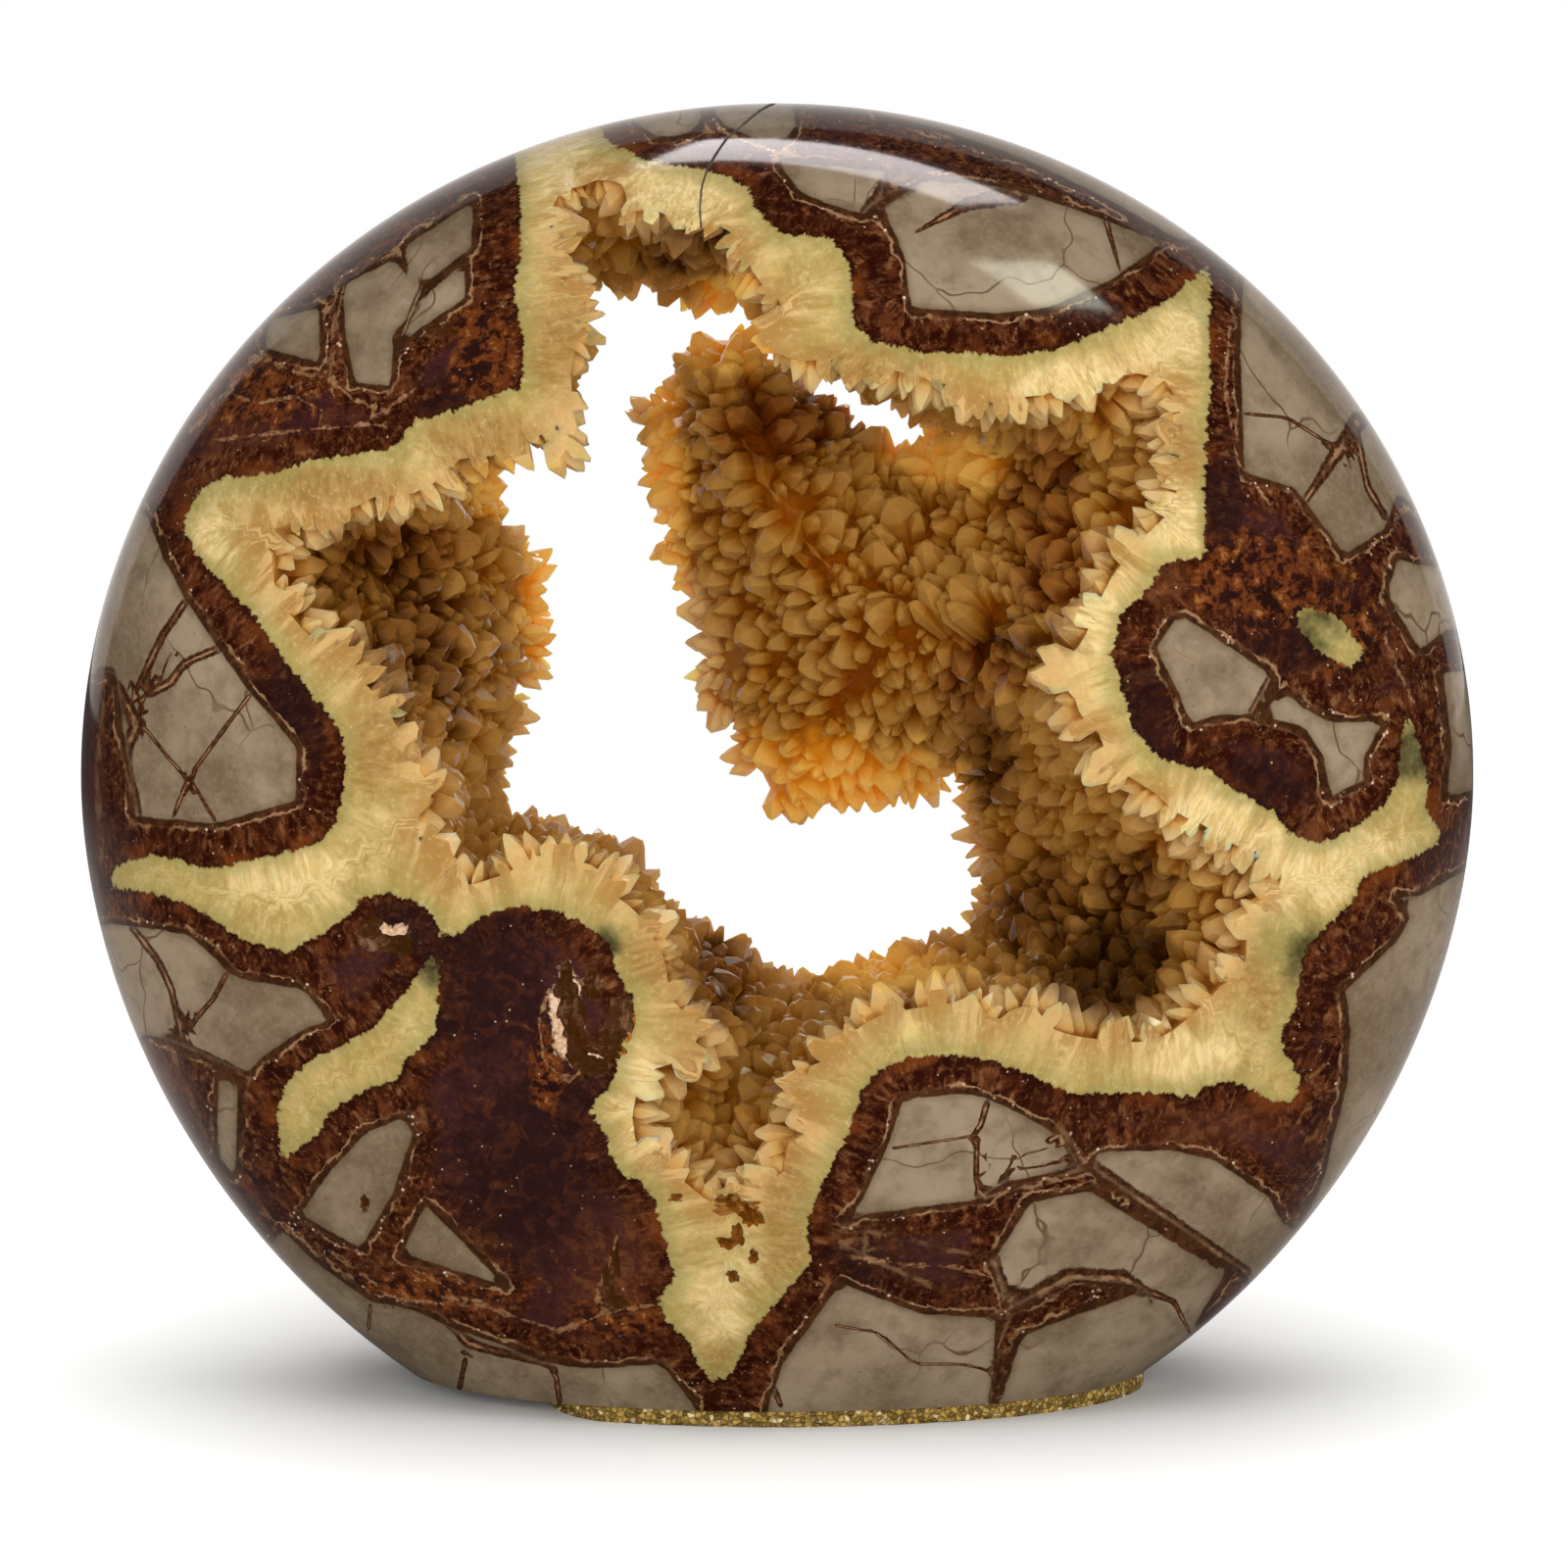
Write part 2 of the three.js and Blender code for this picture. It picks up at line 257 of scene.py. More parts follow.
BACK_BLOCKS = (           # more of them on the back face, mirrored
    ((958, 986), (1154, 937), (1369, 986), (1310, 1111), (1134, 1075), (977, 1101)),
    ((575, 1070), (690, 1110), (700, 1290), (600, 1330), (520, 1217)),
    ((250, 430), (389, 387), (470, 540), (448, 640), (300, 600), (223, 540)),
    ((300, 640), (420, 680), (380, 760), (240, 780), (200, 700)),
    ((546, 570), (664, 599), (781, 522), (811, 619), (742, 725), (624, 677)),
    ((526, 233), (664, 175), (781, 180), (742, 240), (585, 300)),
    ((1134, 291), (1232, 329), (1261, 445), (1193, 445), (1114, 349)),
    ((1290, 560), (1380, 590), (1360, 690), (1230, 720)),
)
VEINS = (                 # half width at either end in millimetres, then the vein's line
    (0.35, 0.35, ((343, 291), (335, 394))),
    (0.3, 0.3, ((432, 289), (407, 350))),
    (1.8, 0.5, ((922, 180), (881, 218))),
    (1.2, 0.15, ((1040, 196), (985, 209), (932, 238))),
    (0.35, 0.15, ((1128, 223), (1144, 279))),
    (0.2, 0.2, ((1270, 422), (1313, 426), (1360, 455))),
    (1.0, 0.4, ((1386, 430), (1332, 511))),
    (0.4, 0.4, ((1384, 440), (1395, 497), (1414, 528))),
    (0.45, 0.45, ((190, 613), (164, 652), (144, 695))),
    (0.5, 0.5, ((223, 662), (187, 677), (174, 697), (151, 708))),
    (0.7, 0.7, ((121, 705), (141, 738), (126, 771), (139, 833))),
    (1.1, 1.1, ((108, 690), (98, 790), (104, 880))),
    (0.25, 0.25, ((256, 708), (233, 738), (192, 794), (177, 833))),
    (0.2, 0.2, ((144, 738), (174, 776), (195, 797), (220, 838))),
    (0.4, 0.4, ((134, 945), (162, 981), (174, 1007), (185, 1053), (185, 1065))),
    (0.3, 0.3, ((231, 994), (218, 1019), (202, 1037), (187, 1058))),
    (0.6, 0.6, ((187, 1068), (256, 1101))),
    (1.6, 0.8, ((175, 1068), (217, 1175))),
    (0.35, 0.35, ((1008, 1124), (997, 1159), (996, 1207), (1003, 1223))),
    (0.15, 0.15, ((909, 1172), (995, 1159))),
    (0.15, 0.15, ((1035, 1170), (1032, 1188), (1016, 1213))),
    (0.12, 0.12, ((1035, 1180), (1070, 1172))),
    (1.2, 0.7, ((1083, 1151), (1113, 1191), (1270, 1298))),
    (0.7, 0.6, ((1003, 1223), (1113, 1191))),
    (1.6, 0.8, ((858, 1250), (1000, 1282))),
    (1.2, 0.8, ((858, 1271), (1016, 1341))),
    (0.9, 0.35, ((1013, 1288), (1024, 1322), (1032, 1341), (1021, 1368), (1011, 1432))),
    (1.2, 0.8, ((1032, 1336), (1091, 1304), (1145, 1304), (1161, 1314))),
    (0.5, 0.15, ((1161, 1314), (1198, 1328), (1214, 1360))),
    (0.15, 0.15, ((850, 1352), (898, 1360), (933, 1392), (984, 1392), (1011, 1400))),
    (0.3, 0.3, ((781, 1395), (797, 1435))),
    (0.2, 0.2, ((378, 1330), (376, 1357))),
    (0.3, 0.3, ((475, 1387), (469, 1416))),
    (0.3, 0.3, ((566, 1395), (571, 1430))),
    (0.5, 0.5, ((410, 1330), (448, 1338), (477, 1371), (515, 1381), (552, 1389))),
    (0.4, 0.4, ((1296, 692), (1276, 729))),
)
THREADS = (               # tan lines that run in the brown
    (0.2, 0.16, ((196, 440), (260, 363), (303, 380), (337, 387), (343, 323), (352, 288))),
    (0.18, 0.14, ((337, 387), (360, 407), (393, 420), (427, 393))),
    (0.16, 0.12, ((213, 450), (293, 440), (380, 433), (402, 437))),
    (0.14, 0.1, ((232, 400), (262, 412), (300, 404), (330, 420))),
    (0.16, 0.12, ((262, 1236), (344, 1281), (401, 1324), (450, 1331), (487, 1336))),
    (0.2, 0.14, ((423, 1295), (487, 1331), (572, 1359), (622, 1338), (672, 1331), (700, 1352))),
    (0.16, 0.12, ((622, 1338), (607, 1323), (625, 1281), (629, 1260))),
    (0.22, 0.16, ((1413, 651), (1423, 676), (1437, 705), (1442, 722))),
    (0.14, 0.12, ((1418, 627), (1437, 612), (1442, 602))),
    (0.18, 0.14, ((866, 1282), (925, 1290), (981, 1294), (1058, 1318))),
    (0.14, 0.1, ((1255, 330), (1250, 400), (1262, 470), (1300, 520))),
    (0.14, 0.12, ((560, 1010), (549, 1040), (556, 1085), (580, 1104), (608, 1080))),
)
FISSURE = (0.14, 0.1, ((800, 100), (775, 113), (755, 130), (740, 143), (730, 158), (722, 172), (716, 190),
                       (714, 215), (716, 240)))
# Green spots in the calcite, each a column, a row and a radius
GREEN_SPOTS = ((1312, 965, 52), (447, 985, 34), (1345, 642, 34), (1440, 770, 40), (620, 960, 24))
CALCITE_HOLES = (         # column, row, half width, half height, then the depth in millimetres
    (752, 1232, 20, 9, 3.2), (768, 1243, 12, 8, 3.6), (736, 1226, 9, 6, 2.4), (741, 1268, 9, 6, 2.6),
    (752, 1262, 6, 9, 2.2), (769, 1283, 5, 7, 2.0), (748, 1303, 6, 5, 2.2), (462, 802, 12, 6, 2.3),
    (470, 794, 6, 8, 2.0), (690, 1222, 6, 4, 1.2),
)
BROKEN_PITS = (
    (446, 338, 21, 9, 0.9), (392, 960, 24, 8, 1.0), (376, 950, 14, 12, 0.8), (410, 965, 10, 9, 1.1),
    (578, 1014, 10, 20, 1.6), (584, 1048, 12, 26, 1.5), (594, 1080, 12, 14, 1.2), (604, 1008, 9, 14, 1.3),
    (634, 1040, 11, 22, 1.1), (624, 1066, 12, 14, 1.2), (608, 1090, 14, 8, 1.0), (628, 1286, 4, 18, 0.9),
    (622, 1312, 6, 16, 1.1), (626, 1330, 10, 7, 0.8), (372, 1228, 5, 10, 0.6),
)
# Patches, each a column, a row, half a width and half a height
PALE_CHIPS = ((577, 1040, 19, 54), (400, 952, 20, 12), (606, 1082, 16, 8))
CRUMBLED = (
    (265, 405, 80, 40), (490, 355, 44, 58), (1290, 590, 100, 60), (1375, 650, 36, 56), (430, 1318, 120, 24),
    (630, 1345, 60, 26), (560, 1090, 24, 60),
)
BURNT = (
    (500, 1000, 90, 110), (560, 1130, 70, 70), (1330, 640, 110, 60), (300, 720, 44, 90), (1250, 520, 30, 80),
    (470, 430, 60, 60), (1170, 740, 40, 80), (1290, 800, 70, 40), (420, 950, 40, 40), (880, 1290, 40, 30),
    (1130, 990, 100, 70), (535, 1200, 110, 120),
)
RUDDY = (
    (1190, 598, 34, 26), (620, 1300, 60, 90), (250, 500, 90, 30), (1350, 870, 60, 30),
    (460, 1290, 90, 60), (150, 1120, 50, 90), (1240, 1150, 90, 24), (660, 130, 90, 24), (240, 420, 60, 40),
)
PALE_CALCITE = (
    (562, 160, 44, 70), (700, 195, 80, 46), (300, 895, 80, 34), (652, 1125, 44, 70), (738, 1332, 34, 60),
    (1345, 880, 120, 60), (1230, 838, 70, 36), (1125, 625, 60, 70), (1200, 530, 34, 60), (1205, 342, 60, 44),
    (1095, 386, 70, 26), (205, 550, 40, 36), (1215, 1078, 60, 30),
)
DUSKY_CALCITE = (
    (560, 350, 54, 60), (490, 445, 70, 34), (330, 495, 100, 26), (375, 765, 40, 60), (885, 366, 100, 28),
    (805, 1260, 34, 110), (740, 1395, 34, 36), (1292, 1005, 36, 60), (655, 985, 40, 40), (1216, 462, 30, 40),
)
# Crystals painted with a glow, as of light shining through them from behind
PAINTED_GLOW_PATCHES = (
    (735, 345, 74, 46), (680, 500, 30, 180), (965, 470, 76, 42), (850, 800, 150, 70), (1008, 705, 34, 24),
    (560, 590, 40, 150), (520, 500, 60, 36), (900, 985, 100, 36), (985, 795, 22, 34), (740, 292, 40, 18),
)
# Crystals painted with shade, tinted deep orange as by light through the crystals behind
ORANGE_SHADE_PATCHES = ((790, 438, 110, 56), (1068, 540, 52, 130), (420, 560, 100, 36), (1000, 690, 60, 50))
# Crystals painted with shade in the deep pockets of the crack
POCKET_SHADE_PATCHES = (
    (1140, 985, 95, 66), (1060, 930, 70, 80), (390, 580, 90, 60), (735, 1000, 60, 60), (862, 1105, 46, 46),
    (700, 250, 70, 40), (1040, 655, 50, 40), (1010, 780, 44, 60), (430, 660, 90, 120), (1150, 905, 60, 60),
)
PATCHES = {               # the name that each is kept by on the stone's points
    "chip": PALE_CHIPS, "crumbled": CRUMBLED, "burnt": BURNT, "ruddy": RUDDY, "pale": PALE_CALCITE,
    "dusky": DUSKY_CALCITE, "amber": PAINTED_GLOW_PATCHES, "ember": ORANGE_SHADE_PATCHES, "smoky": POCKET_SHADE_PATCHES,
}
FRONT_ONLY = ("chip", "crumbled")     # patches that aren't mirrored on the back face


# ---------------------------------------------------------------- fields over the view frame
FIELD_STEP = 4.0
FIELD_AXIS = np.arange(0.0, VIEW_FRAME + FIELD_STEP, FIELD_STEP)
FIELD_COLUMNS, FIELD_ROWS = np.meshgrid(FIELD_AXIS, FIELD_AXIS)
FAR = 400.0                           # millimetres, further than anything on the stone


def nearest_on_segment(start, end):
    """Offsets in pixels from each place of the frame to a straight segment, and how far along it that is."""
    along = (end[0] - start[0], end[1] - start[1])
    length = max(along[0] ** 2 + along[1] ** 2, 1e-9)
    part = ((FIELD_COLUMNS - start[0]) * along[0] + (FIELD_ROWS - start[1]) * along[1]) / length
    part = np.clip(part, 0, 1)
    return start[0] + part * along[0] - FIELD_COLUMNS, start[1] + part * along[1] - FIELD_ROWS, part


def region_field(outline):
    """Distance in millimetres to a closed outline, negative inside it, and offsets to it, over the frame."""
    nearest = np.full(FIELD_COLUMNS.shape, FAR / PIXEL)
    right, down = np.zeros((2,) + nearest.shape)
    inside = np.zeros(nearest.shape, bool)
    for start, end in zip(outline, outline[1:] + outline[:1]):
        across, below, _ = nearest_on_segment(start, end)
        distance = np.hypot(across, below)
        closer = distance < nearest
        nearest = np.where(closer, distance, nearest)
        right, down = np.where(closer, across, right), np.where(closer, below, down)
        if start[1] != end[1]:
            crosses = (start[1] > FIELD_ROWS) != (end[1] > FIELD_ROWS)
            at = start[0] + (FIELD_ROWS - start[1]) * (end[0] - start[0]) / (end[1] - start[1])
            inside ^= crosses & (FIELD_COLUMNS < at)
    return np.where(inside, -nearest, nearest) * PIXEL, right * PIXEL, -down * PIXEL


def line_field(lines):
    """Offsets across and up to the nearest of some tapered lines, as shares of its half width there.

    The third field is the distance less a little, in the same unit: it stays large halfway between two lines,
    where the offsets turn over.
    """
    best = np.full(FIELD_COLUMNS.shape, FAR)
    across_all, up_all, far_all = np.full((3,) + best.shape, FAR)
    for start_half, end_half, line in lines:
        count = len(line) - 1
        for index in range(count):
            across, below, part = nearest_on_segment(line[index], line[index + 1])
            half = start_half + (end_half - start_half) * (index + part) / count
            across, up = across * PIXEL, -below * PIXEL
            distance = np.hypot(across, up)
            closer = distance - half < best
            best = np.where(closer, distance - half, best)
            across_all = np.where(closer, across / half, across_all)
            up_all = np.where(closer, up / half, up_all)
            far_all = np.where(closer, (distance - 0.9) / half, far_all)
    return across_all, up_all, far_all, best


def read_field(field, places):
    """Values of a field at view pixels."""
    at = np.clip(places / FIELD_STEP, 0, len(FIELD_AXIS) - 1.001)
    low = at.astype(int)
    part = at - low
    column, row = low[..., 0], low[..., 1]
    u, v = part[..., 0], part[..., 1]
    top = field[row, column] * (1 - u) + field[row, column + 1] * u
    bottom = field[row + 1, column] * (1 - u) + field[row + 1, column + 1] * u
    return top * (1 - v) + bottom * v


FRONT_FIELD, _, _ = region_field(FRONT_OPENING)
BACK_FIELD, BACK_RIGHT, BACK_UP = region_field(BACK_OPENING)

CRACK_BULGE = 1.6          # the crack is a little wider between the faces than at them
ROOT_DEPTH = 2.6           # crystals' tips to the wall that they grow on
FACE_ROOT_DEPTH = 1.7      # the same beside the polished faces, where the calcite is massive
ROOTS_DEEPEN = (1.0, 5.5)  # under the face, where the second turns into the first
LEAST_HALF_DEPTH = 4.0     # beside the rim the crack turns over no less depth than this
RIM_SHARE = 0.995


def crack_field(points):
    """Negative in the crack, as the crystals' tips leave it: the front opening turns into the back one."""
    places = view_pixels(points)
    front = read_field(FRONT_FIELD, places)
    back = read_field(BACK_FIELD, places)
    share = outline_share(points[..., 0], points[..., 2])
    depth = np.maximum(face_depth(np.minimum(share, RIM_SHARE)), LEAST_HALF_DEPTH)
    part = np.clip((points[..., 1] + depth) / (2 * depth), 0, 1)
    return front * (1 - part) + back * part - CRACK_BULGE * 4 * part * (1 - part)


# ---------------------------------------------------------------- meshes from arrays
def mesh_object(name, places, faces, scale=1.0):
    mesh = bpy.data.meshes.new(name)
    mesh.from_pydata((np.asarray(places) * scale).tolist(), [], [list(map(int, face)) for face in faces])
    mesh.update()
    piece = bpy.data.objects.new(name, mesh)
    bpy.context.scene.collection.objects.link(piece)
    return piece


@contextmanager
def edited(mesh):
    """A mesh opened to edit its faces, and written back at the end."""
    shape = bmesh.new()
    shape.from_mesh(mesh)
    yield shape
    shape.to_mesh(mesh)
    shape.free()


def split_faces(shape, corners=3):
    """Splits the faces with more corners than this into triangles."""
    bmesh.ops.triangulate(shape, faces=[face for face in shape.faces if len(face.verts) > corners])


def read_all(things, attribute, width=3, kind=np.float32):
    """One attribute of all a mesh's points, edges, faces or corners, a row for each."""
    values = np.empty(len(things) * width, kind)
    things.foreach_get(attribute, values)
    return values.reshape(-1, width)


def surface_net(values, origin, step):
    """The closed surface where a field on a box of points changes sign, as places and four-sided faces."""
    inside = values < 0
    size = np.array(values.shape) - 1
    count = np.zeros(size, int)
    corners = [(i, j, k) for i in (0, 1) for j in (0, 1) for k in (0, 1)]

    def part_of(array, corner):
        i, j, k = corner
        return array[i:i + size[0], j:j + size[1], k:k + size[2]]

    for corner in corners:
        count += part_of(inside, corner)
    active = (count > 0) & (count < 8)
    total = int(active.sum())
    number = np.full(size, -1)
    number[active] = np.arange(total)
    place = np.zeros((total, 3))
    hits = np.zeros(total)
    for a in corners:
        for axis in range(3):
            if a[axis] == 0:
                b = tuple(1 if n == axis else v for n, v in enumerate(a))
                va, vb = part_of(values, a)[active], part_of(values, b)[active]
                crosses = (va < 0) != (vb < 0)
                share = np.where(crosses, va / np.where(crosses, va - vb, 1), 0)
                at = np.array(a, float)[None] + share[:, None] * (np.array(b) - np.array(a))[None]
                place += np.where(crosses[:, None], at, 0)
                hits += crosses
    base = np.stack(np.nonzero(active), 1)
    places = origin + step * (base + place / hits[:, None])
    faces = []
    for axis in range(3):
        u, v = (axis + 1) % 3, (axis + 2) % 3
        low = [slice(None)] * 3
        high = [slice(None)] * 3
        low[axis], high[axis] = slice(0, -1), slice(1, None)
        change = inside[tuple(low)] != inside[tuple(high)]
        first = inside[tuple(low)]
        at = np.stack(np.nonzero(change), 1)
        leaves = first[change]
        at_ok = (at[:, u] > 0) & (at[:, v] > 0)
        at, leaves = at[at_ok], leaves[at_ok]
        ring = []
        for du, dv in ((1, 1), (0, 1), (0, 0), (1, 0)):
            cell = at.copy()
            cell[:, u] -= du
            cell[:, v] -= dv
            ring.append(number[cell[:, 0], cell[:, 1], cell[:, 2]])
        quad = np.stack(ring, 1)
        quad[~leaves] = quad[~leaves][:, ::-1]
        faces.append(quad)
    return places, np.concatenate(faces)


# ---------------------------------------------------------------- the polished body
def body_points(sphere):
    """Points of a unit sphere moved to the stone's surface, before it is ground flat."""
    turn = np.hypot(sphere[:, 0], sphere[:, 2])
    share = turn ** (2 / FACE_POWER)
    safe = np.where(turn > 1e-9, turn, 1)
    across, up = sphere[:, 0] / safe, sphere[:, 2] / safe
    reach = share / outline_share(across, up)
    reach = np.where(turn > 1e-9, reach, 0)
    depth = np.sign(sphere[:, 1]) * face_depth(np.minimum(share, 1))
    return np.stack([across * reach, depth, up * reach], 1)


def ball(level, finer_front):
    """A unit ball of triangles; its front half can be one level finer."""
    shape = bmesh.new()
    bmesh.ops.create_icosphere(shape, subdivisions=level, radius=1.0)
    if finer_front:
        edges = [edge for edge in shape.edges if edge.verts[0].co.y < 0.12 and edge.verts[1].co.y < 0.12]
        bmesh.ops.subdivide_edges(shape, edges=edges, cuts=1, use_grid_fill=True)
        split_faces(shape)
    shape.verts.index_update()
    places = np.array([vert.co for vert in shape.verts])
    faces = [[vert.index for vert in face.verts] for face in shape.faces]
    shape.free()
    return places / np.linalg.norm(places, axis=1)[:, None], faces


def stone_body(name, level, grow=1.0, drop=BASE_DROP, finer_front=False):
    """The stone's body without its crack, closed, with its flat spot."""
    sphere, faces = ball(level, finer_front)
    piece = mesh_object(name, body_points(sphere) * grow, faces)
    with edited(piece.data) as shape:
        geometry = shape.verts[:] + shape.edges[:] + shape.faces[:]
        cut = bmesh.ops.bisect_plane(shape, geom=geometry, dist=1e-4, plane_co=(0, 0, -drop),
                                     plane_no=(0, 0, -1), clear_outer=True)
        rim = [edge for edge in cut["geom_cut"] if isinstance(edge, bmesh.types.BMEdge)]
        bmesh.ops.contextual_create(shape, geom=rim)
        split_faces(shape)
        bmesh.ops.recalc_face_normals(shape, faces=shape.faces[:])
    return piece


# ---------------------------------------------------------------- the crack's walls
GRID_STEP = 2.0
GRID_LOW = np.array([-66.0, -39.0, -50.0])
GRID_HIGH = np.array([64.0, 39.0, 70.0])


def crack_void():
    """The space left open by the crack before its crystals grow, run out past both faces."""
    axes = [np.arange(a, b, GRID_STEP) for a, b in zip(GRID_LOW, GRID_HIGH)]
    grid = np.stack(np.meshgrid(*axes, indexing="ij"), -1)
    values = crack_field(grid)
    slope = np.stack(np.gradient(values, GRID_STEP), -1)
    steepness = np.clip(np.linalg.norm(slope, axis=-1), 0.35, None)
    inner = smooth_step(depth_under_face(grid), *ROOTS_DEEPEN)
    wall = values / steepness - FACE_ROOT_DEPTH - (ROOT_DEPTH - FACE_ROOT_DEPTH) * inner
    for axis in range(3):
        edge = [slice(None)] * 3
        for end in (0, -1):
            edge[axis] = end
            wall[tuple(edge)] = GRID_STEP
    return mesh_object("crack_void", *surface_net(wall, GRID_LOW, GRID_STEP))


def replace_mesh(piece):
    """Puts the piece's finished shape in place of its modifiers."""
    depsgraph = bpy.context.evaluated_depsgraph_get()
    mesh = bpy.data.meshes.new_from_object(piece.evaluated_get(depsgraph))
    piece.modifiers.clear()
    old, piece.data = piece.data, mesh
    bpy.data.meshes.remove(old)


def boolean(piece, tool, operation):
    """Cuts or joins a closed mesh with another."""
    change = piece.modifiers.new("boolean", "BOOLEAN")
    change.operation, change.object, change.solver = operation, tool, "MANIFOLD"
    replace_mesh(piece)


# ---------------------------------------------------------------- crystals
CRYSTAL_SEED = 20
ROOT_LENGTH = 1.9          # how far a crystal's foot is sunk in the wall
CRYSTAL_LENGTH = (3.3, 4.1)
CRYSTAL_RADIUS = (1.75, 2.15)
CRYSTAL_FLATNESS = (0.62, 1.0)
TIP_LEAN = 0.12
# The smaller crystals of a spray: their size as shares of the main one's, and where they stand
SIDE_LENGTH, SIDE_RADIUS = (0.6, 0.86), (0.55, 0.75)
SIDE_OUT, SIDE_LEAN, SIDE_SINK = (1.25, 1.9), (0.15, 0.5), 0.2
# Each ring's height and width, as shares of the crystal's; the first one's height is in millimetres
MAIN_RINGS = ((-ROOT_LENGTH, 0.84), (0.46, 1.02), (0.86, 0.52))
SIDE_RINGS = ((-ROOT_LENGTH, 0.8), (0.5, 1.04), (0.86, 0.54))
POINTED_RINGS = ((-ROOT_LENGTH, 0.84), (0.36, 1.0), (0.84, 0.36))

SPRAY_SHAPES = 12
POINTED_SHAPES = 4         # how many of the last sprays are pointed
POINTED_DEPTH = 5.0        # they stand no further than this under a polished face
SPRAY_SPACING = 3.8
SPRAY_REACH = 4.2          # from a spray's root to its furthest tip
SPRAY_SIZES = (0.68, 0.85, 1.0, 1.2)
SIZE_SHARES = (0.28, 0.3, 0.28, 0.14)
NARROW_SIZE = 0.82         # the largest where the far wall is close
FACE_SIZE = 0.92           # the largest beside a polished face
FACE_NEAR = 4.0
ROOT_TRIES = 24000


def tooth(draw, foot, aim, length, radius, sides, rings):
    """One dog-tooth crystal: rings of uneven corners drawn in to a point."""
    turn = Vector(aim).to_track_quat("Z", "Y").to_matrix()
    spin = draw.uniform(0, math.tau)
    flat = draw.uniform(*CRYSTAL_FLATNESS)
    places = []
    for number, (height, width) in enumerate(rings):
        for side in range(sides):
            angle = spin + math.tau * side / sides
            reach = radius * width * (1.08 if side % 2 else 0.9) * draw.uniform(0.9, 1.1)
            level = height if number == 0 else length * (height + draw.uniform(-0.1, 0.1))
            corner = Vector((reach * math.cos(angle), flat * reach * math.sin(angle), level))
            places.append(Vector(foot) + turn @ corner)
    lean = TIP_LEAN * radius
    tip = Vector((draw.uniform(-lean, lean), draw.uniform(-lean, lean), length))
    places.append(Vector(foot) + turn @ tip)
    faces = [tuple(reversed(range(sides)))]
    for ring in range(len(rings) - 1):
        for side in range(sides):
            a, b = ring * sides + side, ring * sides + (side + 1) % sides
            faces.append((a, b, b + sides, a + sides))
    last = (len(rings) - 1) * sides
    for side in range(sides):
        faces.append((last + side, last + (side + 1) % sides, len(places) - 1))
    return np.array(places), faces


def spray(number):
    """A few teeth grown from one foot, the tallest in the middle, joined in one closed mesh."""
    draw = np.random.default_rng(CRYSTAL_SEED + number)
    length, radius = draw.uniform(*CRYSTAL_LENGTH), draw.uniform(*CRYSTAL_RADIUS)
    aim = (draw.uniform(-TIP_LEAN, TIP_LEAN), draw.uniform(-TIP_LEAN, TIP_LEAN), 1)
    pointed = number >= SPRAY_SHAPES - POINTED_SHAPES
    main_rings, side_rings = (POINTED_RINGS, POINTED_RINGS) if pointed else (MAIN_RINGS, SIDE_RINGS)
    main = tooth(draw, (0, 0, 0), aim, length, radius, int(draw.integers(5, 7)), main_rings)
    piece = mesh_object(f"spray_{number:02d}", *main)
    teeth = int(draw.integers(3, 5))
    start = draw.uniform(0, math.tau)
    for index in range(teeth):
        angle = start + math.tau * index / teeth + draw.uniform(-0.35, 0.35)
        out = draw.uniform(*SIDE_OUT)
        lean = draw.uniform(*SIDE_LEAN)
        foot = (out * math.cos(angle), out * math.sin(angle), -SIDE_SINK)
        aim = (lean * math.cos(angle), lean * math.sin(angle), 1)
        side_length, side_radius = draw.uniform(*SIDE_LENGTH) * length, draw.uniform(*SIDE_RADIUS) * radius
        side = mesh_object("side_tooth", *tooth(draw, foot, aim, side_length, side_radius, 5, side_rings))
        boolean(piece, side, "UNION")
        bpy.data.objects.remove(side)
    return piece


def vertex_array(mesh, attribute):
    return read_all(mesh.vertices, attribute).astype(float)


def crystal_roots(void):
    """Where sprays stand on the crack's walls: places, growing directions and sizes."""
    places, outward = vertex_array(void.data, "co"), vertex_array(void.data, "normal")
    quads = np.array([tuple(face.vertices) for face in void.data.polygons])
    corners = places[quads]
    area = np.linalg.norm(np.cross(corners[:, 2] - corners[:, 0], corners[:, 3] - corners[:, 1]), axis=1)
    draw = np.random.default_rng(CRYSTAL_SEED)
    pick = draw.choice(len(quads), ROOT_TRIES, p=area / area.sum())
    u, v = draw.random((2, len(pick), 1))
    shares = np.stack([(1 - u) * (1 - v), u * (1 - v), u * v, (1 - u) * v], 1)
    at = (shares * corners[pick]).sum(1)
    grow = -(shares * outward[quads[pick]]).sum(1)
    grow /= np.linalg.norm(grow, axis=1)[:, None]
    inside_face = depth_under_face(at)
    near = inside_face > -0.2
    at, grow, inside_face = at[near], grow[near], inside_face[near]
    size = draw.choice(SPRAY_SIZES, len(at), p=SIZE_SHARES)
    size *= draw.uniform(0.93, 1.07, len(at))
    room = np.minimum(crack_field(at + 8.0 * grow), crack_field(at + 5.0 * grow))
    size = np.where(room > 1.0, np.minimum(size, NARROW_SIZE), size)
    size = np.where(inside_face < FACE_NEAR, np.minimum(size, FACE_SIZE), size)
    order = np.argsort(-size + draw.uniform(0, 0.3, len(at)))
    cells, kept = {}, []
    for index in order:
        cell = tuple((at[index] // SPRAY_SPACING).astype(int))
        around = [(cell[0] + i, cell[1] + j, cell[2] + k)
                  for i in (-1, 0, 1) for j in (-1, 0, 1) for k in (-1, 0, 1)]
        near = [other for place in around for other in cells.get(place, ())]
        apart = np.linalg.norm(at[near] - at[index], axis=1) if near else np.array([FAR])
        if np.all(apart > 0.5 * SPRAY_SPACING * (size[index] + size[near] if near else 0)):
            cells.setdefault(cell, []).append(index)
            kept.append(index)
    return at[kept], grow[kept], size[kept]


